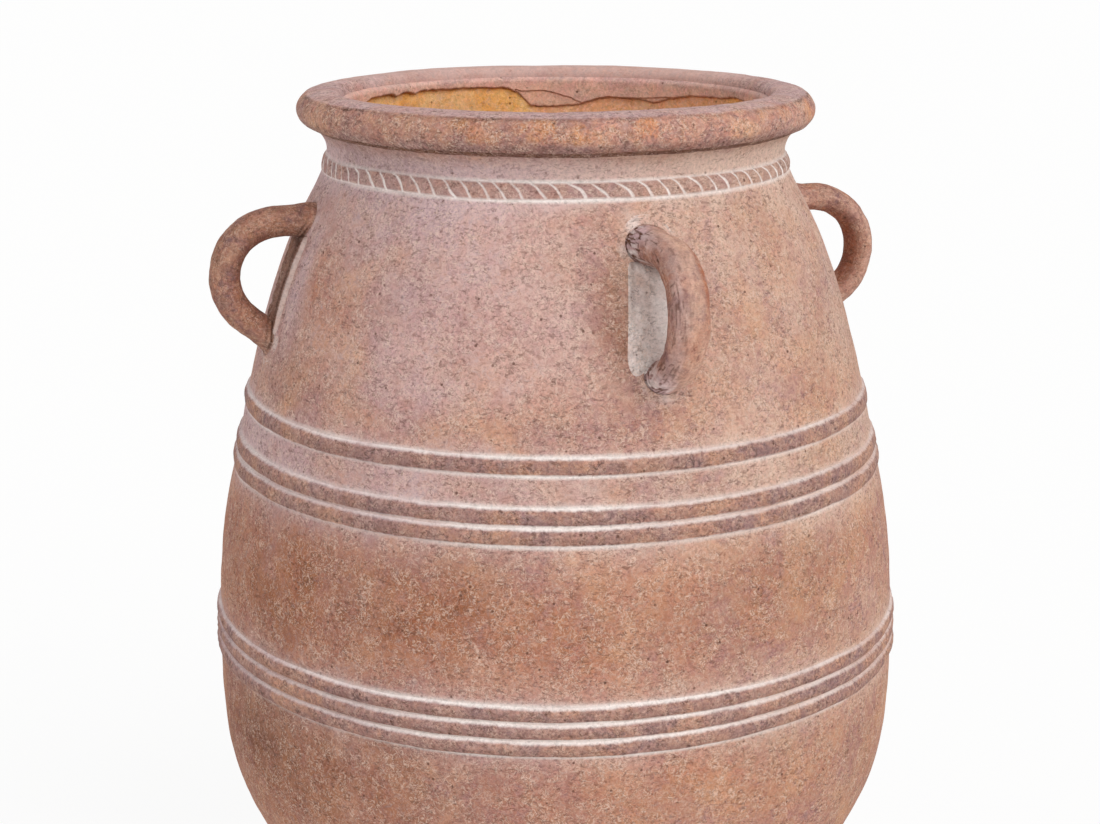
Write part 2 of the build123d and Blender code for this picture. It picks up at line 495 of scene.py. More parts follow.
    def _cracks(self, tree: Tree, place: Socket, soot_and_shade: Socket) -> Node:
        """Hairline drying cracks, bent, and seen only where dirt has got into them.

        Args:
            tree: the material's node tree.
            place: where a point of the jar lies.
            soot_and_shade: how much darkening is painted there.

        Returns:
            How much of a crack there is at a point.
        """
        width = self.crack_mm * METRES_PER_MM
        wave = add_node(tree, "TexNoise", {}, {"Vector": place, "Scale": 1 / (0.5 * width), "Detail": 3.0})
        bent = add_node(tree, "VectorMath", TIMES_PLUS, (wave.outputs["Color"], (0.4 * width,) * 3, place))
        inputs = {"Vector": bent, "Scale": 1 / width}
        edge = add_node(tree, "TexVoronoi", {"feature": "DISTANCE_TO_EDGE"}, inputs)
        line = add_node(tree, "MapRange", SMOOTH_RANGE, (edge, 0.07, 0.02, 0.0, 0.8))
        dirty = add_node(tree, "MapRange", SMOOTH_RANGE, (soot_and_shade, 0.30, 0.55, 0.0, 1.0))
        return add_node(tree, "Math", {"operation": "MULTIPLY"}, (line, dirty))


class Clay(Enum):
    """One clay, handled differently from place to place."""

    # The wall was scraped and rubbed back, so it is even, pale and sandy.
    WALL = FiredClay("coarse_terracotta_limewashed")
    # Ribs were pressed on and wiped with a wet finger, and their crests are worn dark and gritty.
    RIB = FiredClay(
        "coarse_terracotta_worn_rib",
        mauve="#91706D", flesh="#A47B6F", peach="#BA8B72", cloud_mm=40.0,
        grit_contrast=0.30, drag_strength=0.3, relief_mm=1.3, speck_strength=0.6,
    )
    # The rim takes the knocks, so it is redder, with ochre chips and fine drying cracks.
    RIM = FiredClay(
        "coarse_terracotta_handled_rim",
        mauve="#A87C72", flesh="#C28C78", peach="#D3A081", warm="#D68F55", haze="#DDB49F", cloud_mm=44.0,
        grit_contrast=0.28, crack_mm=7.0, relief_mm=1.1, speck_strength=0.45,
    )
    # Handles are burnished by hands and hold more iron.
    HANDLE = FiredClay(
        "coarse_terracotta_burnished_handle",
        mauve="#86605D", flesh="#9E6E5E", peach="#B98168", warm="#B2653A", haze="#E2B9A4",
        cloud_mm=30.0, grit_contrast=0.24, relief_mm=0.7, drag_strength=0.3, speck_strength=0.45,
        roughness=0.86,
    )
    # The lining was wiped on wet and smoothed, so its grit hardly shows and it crazed. Its
    # colours are painted paler than the clay, as painted light in the shaded mouth.
    LINING = FiredClay(
        "slip_lining_terracotta",
        mauve="#E0A492", flesh="#EFB299", peach="#F6BE9C", warm="#F3AE78", haze="#F0C7B6",
        cloud_mm=36.0, grit_contrast=0.12, drag_mm=10.0, drag_strength=0.3, speck_strength=0.15,
        scratch_strength=0.2, relief_mm=0.4, crack_mm=16.0,
    )
    # Inside, the raw clay was never washed: rough, open and ochre. Its colours are painted
    # paler than the clay, as painted light falling into the jar.
    INSIDE = FiredClay(
        "raw_ochre_clay_inside",
        mauve="#F0AC62", flesh="#FEBC6C", peach="#FFCB80", warm="#FAB88E", haze="#FFDFAE",
        burnt="#7A4A2A", cloud_mm=30.0, grit_contrast=0.14, drag_mm=9.0, drag_strength=0.15,
        speck_strength=0.15, scratch_strength=0.2, relief_mm=0.8,
    )

    @cache
    def material(self) -> bpy.types.Material:
        """The clay's one material, made when it is first asked for."""
        return self.value.material()


# Meshes


def grid_normals(points: Points, closed: bool) -> Points:
    """Works out the normals of a grid from its own rows and columns.

    Args:
        points: rows by columns by x, y, z.
        closed: whether the last column joins the first.

    Returns:
        Unit normals, of the same shape.
    """
    along = np.gradient(points, axis=0)
    if closed:
        across = np.roll(points, -1, axis=1) - np.roll(points, 1, axis=1)
    else:
        across = np.gradient(points, axis=1)
    normals = np.cross(across, along)
    return normals / np.maximum(np.linalg.norm(normals, axis=-1, keepdims=True), 1e-9)


@dataclass
class Sheet:
    """A grid of points over a face of the clay, in rows and columns, and what is on it.

    Seen from outside the clay, rows run upward where columns run to the right.

    Attributes:
        points: rows by columns by x, y, z.
        clay: the clay that shows.
        paint: how much of each of PAINTS lies at each point, with none of those left out.
        closed: whether the last column joins the first.
        normals: outward normals, worked out from the points if not given.
    """

    points: Points
    clay: Clay
    paint: Paint = field(default_factory=dict)
    closed: bool = True
    normals: Points | None = None

    def __post_init__(self) -> None:
        """Works out the normals where none are given."""
        if self.normals is None:
            self.normals = grid_normals(self.points, self.closed)

    def faces(self, start: int) -> np.ndarray:
        """Lists the corners of the grid's faces.

        Args:
            start: number of the grid's first point.

        Returns:
            Four corner numbers per face.
        """
        rows, columns = self.points.shape[:2]
        index = np.arange(rows * columns).reshape(rows, columns) + start
        left = index if self.closed else index[:, :-1]
        right = np.roll(index, -1, axis=1) if self.closed else index[:, 1:]
        return np.stack([left[:-1], right[:-1], right[1:], left[1:]], axis=-1).reshape(-1, 4)


@dataclass(frozen=True)
class Part(ABC):
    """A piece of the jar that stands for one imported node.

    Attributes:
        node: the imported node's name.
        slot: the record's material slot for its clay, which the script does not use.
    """

    node: str
    slot: ClassVar[Slot] = Slot.BODY

    @abstractmethod
    def sheets(self, form: "JarForm") -> list[Sheet]:
        """The faces of the piece.

        Args:
            form: the jar's form.

        Returns:
            Sheets that close round the piece.
        """

    def build(self, form: "JarForm") -> bpy.types.Object:
        """Makes the piece's mesh, dresses it and lets it stand for its node.

        Args:
            form: the jar's form.

        Returns:
            The finished object, riding on the jar's one body.
        """
        mesh = self._mesh(self.sheets(form))
        piece = bpy.data.objects.new(f"clay_{self.node}", mesh)
        bpy.context.scene.collection.objects.link(piece)
        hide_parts(self.node)
        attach(piece, "root")
        log.info("%s: %d faces", piece.name, len(mesh.polygons))
        return piece

    def _mesh(self, sheets: list[Sheet]) -> bpy.types.Mesh:
        """Joins sheets into one mesh, with their clays, normals and paint.

        Args:
            sheets: the faces of the piece.

        Returns:
            The mesh, in metres.
        """
        clays = list(dict.fromkeys(sheet.clay for sheet in sheets))
        starts = np.cumsum([0] + [sheet.points.shape[0] * sheet.points.shape[1] for sheet in sheets])
        faces = [sheet.faces(start) for sheet, start in zip(sheets, starts)]
        skins = [np.full(len(f), clays.index(s.clay)) for f, s in zip(faces, sheets)]
        corners = np.concatenate(faces)
        points = np.concatenate([sheet.points.reshape(-1, 3) for sheet in sheets])
        normals = np.concatenate([sheet.normals.reshape(-1, 3) for sheet in sheets])

        mesh = bpy.data.meshes.new(f"clay_{self.node}")
        mesh.vertices.add(len(points))
        mesh.vertices.foreach_set("co", (points * METRES_PER_MM).astype(np.float32).ravel())
        mesh.loops.add(corners.size)
        mesh.loops.foreach_set("vertex_index", corners.astype(np.int32).ravel())
        mesh.polygons.add(len(corners))
        mesh.polygons.foreach_set("loop_start", np.arange(0, corners.size, 4, dtype=np.int32))
        mesh.polygons.foreach_set("material_index", np.concatenate(skins).astype(np.int32))
        mesh.update(calc_edges=True)
        mesh.normals_split_custom_set_from_vertices(normals.tolist())
        for key in PAINTS:
            values = [
                np.broadcast_to(sheet.paint.get(key, 0.0), sheet.points.shape[:2]).reshape(-1)
                for sheet in sheets
            ]
            layer = mesh.attributes.new(key, "FLOAT", "POINT")
            layer.data.foreach_set("value", np.clip(np.concatenate(values), 0, 1).astype(np.float32))
        for clay in clays:
            mesh.materials.append(clay.material())
        return mesh


# The jar's form


@dataclass(frozen=True)
class JarForm:
    """The jar's outline and the unevenness of its hand-made faces, in mm.

    Attributes:
        stations: the outer face from the ground to the neck's waist.
        foot_lean: angle of the wall at the ground, in degrees from the vertical.
        wall: thickness of the wall.
        base_thickness: thickness of the floor.
        bore_radius: inside of the neck, behind the lining.
        high_shoulder: height at which the inner face starts to ease to the bore.
        rim_seam: where the rim starts, under its overhang.
        rim_nose: the rim's outermost point.
        rim_shoulder: where its nose turns into its top.
        rim_top: where its top becomes level.
        lip_round: radius of its inner edge.
        rim_sag: how far the hand-made rim stays under its full height.
        far_azimuth: direction away from the camera, in which the rim dips a little more.
        rim_dip: how far it dips there.
        sag_start: height at which the rim starts to sag.
        sag_end: height from which it sags in full.
        foot_ease: height over which the wall's unevenness grows from nothing at the ground.
    """

    stations: tuple[Station, ...] = (
        Station(158.0, 0.0),  # ground
        Station(240.0, 128.0),  # stem
        Station(304.5, 245.0),  # lower seam
        Station(333.5, 309.5),  # swell
        Station(345.2, 388.0),  # widest
        Station(345.2, 462.5),  # belly seam
        Station(338.2, 564.5),  # upper belly
        Station(320.5, 654.0),  # shoulder seam
        Station(303.5, 730.0),  # low shoulder
        Station(287.0, 790.0),  # middle of the shoulder
        Station(246.2, 890.5),  # high shoulder
        Station(230.8, 921.0),  # foot of the neck
        Station(226.0, 941.0),  # waist of the neck
    )
    foot_lean: float = 32.0
    wall: float = 20.0
    base_thickness: float = 28.0
    bore_radius: float = 210.0
    high_shoulder: float = 890.5
    rim_seam: Station = Station(247.0, 966.0)
    rim_nose: Station = Station(254.5, 981.5)
    rim_shoulder: Station = Station(244.5, 997.5)
    rim_top: Station = Station(234.0, 1000.0)
    lip_round: float = 10.0
    rim_sag: float = 0.8
    far_azimuth: float = 70.8
    rim_dip: float = 2.2
    sag_start: float = 966.0
    sag_end: float = 990.0
    foot_ease: float = 12.0

    @cached_property
    def wall_line(self) -> Points:
        """Close points of the outer face, on a smooth cubic through the stations.

        Returns:
            Radius and height, with a row per point.
        """
        knots = np.array(self.stations)
        spans = np.linalg.norm(np.diff(knots, axis=0), axis=1)
        slopes = np.diff(knots, axis=0) / spans[:, None]
        count = len(knots)
        lean = math.radians(self.foot_lean)
        matrix, target = np.eye(count), np.zeros((count, 2))
        target[0] = math.sin(lean), math.cos(lean)
        target[-1] = 0, 1
        for i in range(1, count - 1):
            before, after = spans[i - 1], spans[i]
            matrix[i, i - 1 : i + 2] = after, 2 * (before + after), before
            target[i] = 3 * (after * slopes[i - 1] + before * slopes[i])
        tangents = np.linalg.solve(matrix, target)
        steps = np.linspace(0, 1, 40, endpoint=False)[:, None]
        line = [
            hermite(knots[i], knots[i + 1], span * tangents[i], span * tangents[i + 1], steps)
            for i, span in enumerate(spans)
        ]
        return np.concatenate([*line, knots[-1:]])

    @cached_property
    def outline(self) -> Points:
        """The whole section: up the outer face, over the rim and down the inside to the floor.

        Returns:
            Radius and height, with a row per point.
        """
        waist = self.stations[-1]
        rise, out = self.rim_seam.height - waist.height, self.rim_seam.radius - waist.radius
        cove_radius = (rise**2 + out**2) / (2 * out)
        turn = np.linspace(0, math.asin(rise / cove_radius), 40)[1:]
        cove = waist + cove_radius * np.c_[1 - np.cos(turn), np.sin(turn)]
        nose = arc_through(self.rim_seam, self.rim_nose, self.rim_shoulder)[1:]
        top = self.rim_top.height
        lip_turn = np.linspace(0, math.pi / 2, 20)
        lip = np.c_[1 - np.sin(lip_turn), np.cos(lip_turn) - 1] * self.lip_round
        lip += (self.bore_radius, top)
        inner = self.wall_line - (self.wall, 0)
        inner = inner[(inner[:, 1] > self.base_thickness) & (inner[:, 1] < self.high_shoulder)][::-1]
        drop = waist.height - inner[0, 1]
        travel = inner[1] - inner[0]
        travel *= drop / np.linalg.norm(travel)
        steps = np.linspace(0, 1, 24)[:, None]
        start = np.array((self.bore_radius, waist.height))
        eased = hermite(start, inner[0], np.array((0, -drop)), travel, steps)
        floor = [(inner[-1, 0], self.base_thickness)]
        parts = [self.wall_line, cove, nose, [self.rim_top], lip, eased, inner[1:], floor]
        return np.concatenate(parts)

    @cached_property
    def lengths(self) -> Field:
        """Distance along the outline to each of its points."""
        steps = np.linalg.norm(np.diff(self.outline, axis=0), axis=1)
        return np.concatenate([[0], np.cumsum(steps)])

    @cached_property
    def crown(self) -> int:
        """Number of the outline's highest point, where the outside ends."""
        return int(np.argmax(self.outline[:, 1]))

    def outside(self, height: float) -> float:
        """Distance along the outline to its outer face at a height."""
        part = slice(0, self.crown + 1)
        return float(np.interp(height, self.outline[part, 1], self.lengths[part]))

    def inside(self, height: float) -> float:
        """Distance along the outline to its inner face at a height."""
        part = slice(self.crown, None)
        return float(np.interp(-height, -self.outline[part, 1], self.lengths[part]))

    def spot(self, distance: Field) -> Points:
        """Radius and height of the outline at distances along it."""
        return np.stack(
            [np.interp(distance, self.lengths, self.outline[:, k]) for k in (0, 1)], axis=-1
        )

    def wall_radius(self, height: Field) -> Field:
        """Radius of the plain outer face at a height below the waist."""
        return np.interp(height, self.wall_line[:, 1], self.wall_line[:, 0])

    def unevenness(self, points: Points) -> Field:
        """How far the hand-made surface stands out from the plain one near points, in mm."""
        return (
            0.50 * Grain(230, 11).at(points)
            + 0.34 * Grain(64, 12).at(points)
            + 0.26 * Grain(19, 13, 2).at(points)
        )

    def sag(self, turn: Field, height: Field) -> Field:
        """How far the hand-made rim stays under its full height, at angles in radians."""
        away = (1 + np.cos(turn - math.radians(self.far_azimuth))) / 2
        return (self.rim_sag + self.rim_dip * away) * smooth_step(self.sag_start, self.sag_end, height)

    def wall_surface(self, azimuth: Field, height: Field, lift: Field | float = 0.0) -> Points:
        """Points of the uneven outer face, lifted off it along its normal.

        Args:
            azimuth: azimuths in degrees.
            height: heights, of the same shape.
            lift: how far to stand off the face, in mm.

        Returns:
            Points of that shape, ending in x, y, z.
        """
        turn = np.radians(azimuth)
        radius = self.wall_radius(height)
        lean = (self.wall_radius(height + 1.0) - self.wall_radius(height - 1.0)) / 2
        plain = np.stack([radius * np.cos(turn), radius * np.sin(turn), height], axis=-1)
        out = np.stack([np.cos(turn), np.sin(turn), -lean], axis=-1)
        out /= np.linalg.norm(out, axis=-1, keepdims=True)
        return plain + out * (self.unevenness(plain) + lift)[..., None]

    def turned(self, start: float, end: float, step: float, columns: int, clay: Clay) -> Sheet:
        """Turns a stretch of the outline round the axis, with its unevenness.

        Args:
            start: distance along the outline where the stretch starts.
            end: distance where it ends.
            step: distance between rows.
            columns: how many points go round.
            clay: the clay that shows.

        Returns:
            The stretch, with normals that carry on smoothly past its ends.
        """
        rows = max(3, round((end - start) / step) + 1)
        spacing = (end - start) / (rows - 1)
        last = self.lengths[-1]
        distance = np.clip(start + spacing * np.arange(-1, rows + 1), 0, last)
        line = self.spot(distance)
        travel = self.spot(np.minimum(distance + 0.5, last)) - self.spot(np.maximum(distance - 0.5, 0))
        travel /= np.linalg.norm(travel, axis=-1, keepdims=True)
        turn = np.linspace(0, math.tau, columns, endpoint=False)
        plain = spun(line[:, 0], line[:, 1], turn)
        out = spun(travel[:, 1], -travel[:, 0], turn)
        lift = self.unevenness(plain) * smooth_step(0, self.foot_ease, plain[..., 2])
        points = plain + out * lift[..., None]
        sunk = points[..., 2] - self.sag(turn, plain[..., 2])
        points[..., 2] = np.clip(sunk, 0.0, self.rim_top.height - 0.05)
        normals = grid_normals(points, closed=True)
        return Sheet(points[1:-1], clay, normals=normals[1:-1])


def hermite(start: Points, end: Points, leave: Points, arrive: Points, steps: Field) -> Points:
    """Points of the cubic that leaves one point and arrives at another with given tangents."""
    square, cube = steps**2, steps**3
    return (
        start * (2 * cube - 3 * square + 1)
        + end * (3 * square - 2 * cube)
        + leave * (cube - 2 * square + steps)
        + arrive * (cube - square)
    )


def arc_through(first: Station, middle: Station, last: Station) -> Points:
    """Finds the arc through three stations, with each as a complex number.

    Args:
        first: where the arc starts.
        middle: a station on its way.
        last: where it ends.

    Returns:
        Radius and height, with a row per point.
    """
    a, b, c = (complex(*station) for station in (first, middle, last))
    w = (c - a) / (b - a)
    centre = a + (b - a) * (w - abs(w) ** 2) / (2j * w.imag)
    start, end = np.angle(a - centre), np.angle(c - centre)
    turn = np.linspace(start, end if end > start else end + math.tau, 60)
    spots = centre + abs(a - centre) * np.exp(1j * turn)
    return np.c_[spots.real, spots.imag]


def spun(radius: Field, height: Field, turn: Field) -> Points:
    """Spins radii and heights round the axis.

    Args:
        radius: a radius for each row.
        height: a height for each row.
        turn: an angle in radians for each column.

    Returns:
        Rows by columns by x, y, z.
    """
    shape = (len(radius), len(turn))
    parts = (radius[:, None] * np.cos(turn), radius[:, None] * np.sin(turn), height[:, None])
    return np.stack([np.broadcast_to(part, shape) for part in parts], axis=-1)


def joined(first: Points, second: Points, clay: Clay) -> Sheet:
    """The face between two rings of points, where one piece of clay sits on the next."""
    return Sheet(np.stack([first, (first + second) / 2, second]), clay, {"soot_and_shade": np.array(0.8)})


# What lies on the clay

# Directions round the jar in degrees: the middle of its warm side, toward the light, away from
# which the wash is painted cooler as painted shade; the side where the lime beside the ribs is
# whitest; and the middle of the rosy patch inside the mouth.
LIT_WARM_SIDE = 325.0
WHITE_SIDE = 250.0
ROSY_SIDE = 45.0


def shade_coolness(azimuth: Field) -> Field:
    """Share of the wash that is lilac, a painted shade: none on the lit warm side, all of it beyond."""
    return 1 - smooth_step(-0.25, 0.95, np.cos(np.radians(azimuth - LIT_WARM_SIDE)))


def line_lime(points: Points) -> Field:
    """How white the lime is beside the ribs: whitest in front, broken and faint elsewhere."""
    front = np.exp(-((angle_apart(azimuth_of(points), WHITE_SIDE) / 36) ** 2))
    return 0.38 + 0.52 * front + 0.26 * Grain(110, 25, 2).at(points) + 0.12 * Grain(26, 22, 3).at(points)


@dataclass(frozen=True)
class StainAndShade:
    """A patch where the wall is darker or warmer: a stain, or a patch of painted shade.

    Attributes:
        azimuth: direction of its middle in degrees.
        height: height of its middle in mm.
        half_turn: half of its width, in degrees.
        half_height: half of its height, in mm.
        soot_and_shade: how much darker it is.
        ember: how much warmer it is.
        haze: how much more wash lies on it.
    """

    azimuth: float
    height: float
    half_turn: float
    half_height: float
    soot_and_shade: float = 0.0
    ember: float = 0.0
    haze: float = 0.0

    def over(self, azimuth: Field, height: Field) -> Field:
        """Strength of the patch at points of the wall."""
        across = angle_apart(azimuth, self.azimuth) / self.half_turn
        return np.exp(-(across**2) - ((height - self.height) / self.half_height) ** 2)


@dataclass(frozen=True)
class Belt:
    """A level belt of the wall that fades out below and above.

    Attributes:
        start: height at which it starts.
        full: height from which it shows in full.
        fading: height from which it fades again.
        end: height at which it is gone.
    """

    start: float
    full: float
    fading: float
    end: float

    def over(self, height: Field) -> Field:
        """Strength of the belt at heights, from 0 to 1."""
        return smooth_step(self.start, self.full, height) * smooth_step(self.end, self.fading, height)


@dataclass(frozen=True)
class WallWash:
    """Where lime, warm clay, soot and painted shade lie on the outer wall.

    Attributes:
        rib_edges: heights of the upper and lower edge of each group of ribs.
        under_ribs: belt between the shoulder rib and the pair of ribs under it.
        shoulder: belt from the shoulder rib to the rope.
        neck: belt of thin wash over the neck.
        neck_lime: belt of thick lime over the neck.
        belly_top: height under which the belly's warm clay starts to show.
        belly_full: height under which it shows in full.
        lower_ribs: middle height of the lower ribs, where the clay is cooler.
        stains_and_shade: patches that the firing and the hands left, and patches of painted shade.
    """

    rib_edges: tuple[tuple[float, float], ...] = (
        (938.0, 921.5), (706.0, 689.0), (662.5, 628.5), (486.5, 438.5),
    )
    under_ribs: Belt = Belt(655, 664, 688, 697)
    shoulder: Belt = Belt(690, 800, 945, 960)
    neck: Belt = Belt(934, 944, 962, 972)
    neck_lime: Belt = Belt(934, 944, 956, 966)
    belly_top: float = 640.0
    belly_full: float = 590.0
    lower_ribs: float = 462.0
    stains_and_shade: tuple[StainAndShade, ...] = (
        StainAndShade(261, 838, 5, 40, soot_and_shade=0.34, ember=0.35),
        StainAndShade(263, 800, 5, 30, soot_and_shade=0.16, ember=0.30),
        StainAndShade(205, 888, 13, 16, soot_and_shade=0.06, haze=0.3),
        StainAndShade(203, 815, 14, 34, soot_and_shade=0.10, ember=0.45),
        StainAndShade(188.5, 832, 3.2, 40, haze=0.9),
        StainAndShade(196, 838, 4.5, 34, ember=0.5),
        StainAndShade(225, 760, 18, 40, haze=0.2),
        StainAndShade(194, 745, 15, 36, soot_and_shade=0.16, ember=0.2),
        StainAndShade(236, 800, 12, 40, ember=0.30),
        StainAndShade(255, 905, 12, 12, haze=-0.1, ember=0.3),
        # These two darken and warm the belly's left side, away from the light, as painted shade.
        StainAndShade(200, 560, 32, 66, soot_and_shade=0.38, ember=0.55),
        StainAndShade(200, 400, 40, 72, soot_and_shade=0.50, ember=0.40),
        # Painted shade under the rim on the left side.
        StainAndShade(205, 950, 32, 14, soot_and_shade=0.30),
        StainAndShade(268, 905, 3.5, 10, haze=0.6),
        StainAndShade(270, 751, 3.5, 6, haze=0.7),
        StainAndShade(325, 540, 30, 60, haze=0.12),
        StainAndShade(302, 676, 24, 20, soot_and_shade=0.14),
        StainAndShade(328, 780, 24, 90, soot_and_shade=0.05),
        StainAndShade(304, 400, 26, 50, soot_and_shade=0.09),
        StainAndShade(228, 560, 16, 40, soot_and_shade=0.15, ember=0.25),
        StainAndShade(255, 560, 34, 44, soot_and_shade=0.10, ember=0.25),
        StainAndShade(300, 590, 18, 26, soot_and_shade=0.08, ember=0.20),
        StainAndShade(40, 820, 22, 50, soot_and_shade=0.20, ember=0.20),
        StainAndShade(95, 560, 26, 40, ember=0.30),
        StainAndShade(130, 760, 20, 60, soot_and_shade=0.20, ember=0.25),
        StainAndShade(150, 300, 30, 60, soot_and_shade=0.20, ember=0.20),
        StainAndShade(290, 180, 40, 60, soot_and_shade=0.15, ember=0.25),
        StainAndShade(60, 210, 30, 70, soot_and_shade=0.15, ember=0.10),
    )

    def at(self, points: Points) -> Paint:
        """What is painted at points of the outer wall.

        Args:
            points: points of the wall.

        Returns:
            The strengths of what lies there.
        """
        height, azimuth = points[..., 2], azimuth_of(points)
        cloud = Grain(90, 21, 3).at(points)
        wisp = Grain(26, 22, 3).at(points)
        lime, smooth = np.zeros(height.shape), np.zeros(height.shape)
        haze = np.full(height.shape, 0.04)
        # The wash turns cooler away from the light, as painted shade.
        cool, white = shade_coolness(azimuth), line_lime(points)
        for upper, lower in self.rib_edges:
            away = np.clip(np.maximum(height - upper, lower - height), 0, None)
            # The lime lies wider over a group of ribs than under it, but not beside the rope.
            line = np.exp(-((away / np.where((height > upper) & (height < 900), 2.4, 1.4)) ** 2))
            lime += white * line
            smooth += 0.8 * line
            haze += 0.58 * np.exp(-away / 16)
        haze += 0.16 * (0.3 + 0.7 * cool) * self.under_ribs.over(height)
        haze += 0.44 * self.shoulder.over(height)
        haze += 0.45 * self.neck.over(height)
        lime += 0.06 * self.neck_lime.over(height)
        haze = haze * (0.88 + 0.12 * cool) + (0.22 * cloud + 0.12 * wisp) * (0.4 + haze)
        haze += 0.07 * (1 - cool)
        belly = smooth_step(self.belly_top, self.belly_full, height)
        ember = 0.06 + 0.34 * belly
        ember -= 0.16 * np.exp(-np.abs(height - self.lower_ribs) / 34)
        ember += 0.22 * Grain(70, 23, 2).at(points) + 0.12 * wisp
        # Under the rim the neck is darkened as painted shade, most of all at its seam.
        soot_and_shade = 0.02 + 0.10 * np.clip(Grain(110, 24, 2).at(points), 0, 1)
        soot_and_shade += (0.24 - 0.08 * cool) * smooth_step(948, 962, height) + 0.1 * smooth_step(960, 966, height)
        smooth += 0.35 * smooth_step(936, 944, height)
        soot_and_shade += 0.05 * belly
        for stain_and_shade in self.stains_and_shade:
            strength = stain_and_shade.over(azimuth, height) * (0.8 + 0.35 * wisp)
            soot_and_shade = soot_and_shade + stain_and_shade.soot_and_shade * strength
            ember = ember + stain_and_shade.ember * strength
            haze = haze * (1 - 0.8 * np.clip(strength * (stain_and_shade.soot_and_shade + stain_and_shade.ember), 0, 1))
            haze = haze + stain_and_shade.haze * strength
        return {
            "haze": haze, "lilac": cool, "lime": lime, "ember": ember, "soot_and_shade": soot_and_shade, "smooth": smooth,
        }


def inside_paint(points: Points) -> Paint:
    """What shows on the inside: bright ochre clay near the mouth, rosy on one side, duller below.

    Args:
        points: points of an inner face.

    Returns:
        The strengths of what lies there.
    """
    depth = smooth_step(960, 700, points[..., 2])
    mottle = Grain(30, 31, 3).at(points)
    rosy = smooth_step(36, 26, np.abs(angle_apart(azimuth_of(points), ROSY_SIDE) - 3 * mottle))
    return {
        "haze": 0.05 + 0.25 * mottle,
        "ember": 0.1 + 0.2 * mottle + 0.9 * rosy,
        "soot_and_shade": 0.02 + 0.25 * depth + 0.05 * mottle,
    }


# Wall, rim and lining


@dataclass(frozen=True)
class WallRing(Part):
    """One ring of the jar's wall, from its lower seam to its upper seam.

    Attributes:
        low: height of its lower seam on the outside.
        high: height of its upper seam on the outside.
        low_inside: height of its lower seam on the inside.
        high_inside: height of its upper seam on the inside.
        step: distance between rows on the outside.
        inside_step: distance between rows on the inside.
        columns: how many points go round.
    """

    low: float
    high: float
    low_inside: float
    high_inside: float
    step: float = 3.0
    inside_step: float = 9.0
    columns: int = 720

    def sheets(self, form: JarForm) -> list[Sheet]:
        """Its outer face, its inner face and its two seams.

        Args:
            form: the jar's form.

        Returns:
            The four sheets that close round the ring.
        """
        start, end = form.outside(self.low), form.outside(self.high)
        outer = form.turned(start, end, self.step, self.columns, Clay.WALL)
        outer.paint = WallWash().at(outer.points)
        start, end = form.inside(self.high_inside), form.inside(self.low_inside)
        inner = form.turned(start, end, self.inside_step, self.columns, Clay.INSIDE)
        inner.paint = inside_paint(inner.points)
        upper = joined(outer.points[-1], inner.points[0], Clay.WALL)
        lower = joined(inner.points[-1], outer.points[0], Clay.WALL)
        return [outer, upper, inner, lower]


@dataclass(frozen=True)
class NeckRing(WallRing):
    """The short concave neck, a ring like the others in finer rows."""

    slot: ClassVar[Slot] = Slot.NECK
    step: float = 1.6
    inside_step: float = 3.0
    columns: int = 1080


@dataclass(frozen=True)
class BaseDisc(Part):
    """The flat disc that carries the wall.

    Attributes:
        columns: how many points go round.
        rings: how many rows cross its top and its underside.
    """

    columns: int = 720
    rings: int = 14

    def sheets(self, form: JarForm) -> list[Sheet]:
        """Its edge, its top and its underside.

        Args:
            form: the jar's form.

        Returns:
            The three sheets that close round the disc.
        """
        end = form.outside(form.base_thickness)
        edge = form.turned(0.0, end, 3.0, self.columns, Clay.WALL)
        edge.paint = WallWash().at(edge.points)
        shrink = np.linspace(1, 1e-4, self.rings)[:, None, None] * (1, 1, 0) + (0, 0, 1)
        top = Sheet(edge.points[-1] * shrink, Clay.INSIDE)
        top.paint = inside_paint(top.points)
        under = Sheet((edge.points[0] * shrink)[::-1], Clay.WALL, {"soot_and_shade": np.array(0.2)})
        return [under, edge, top]


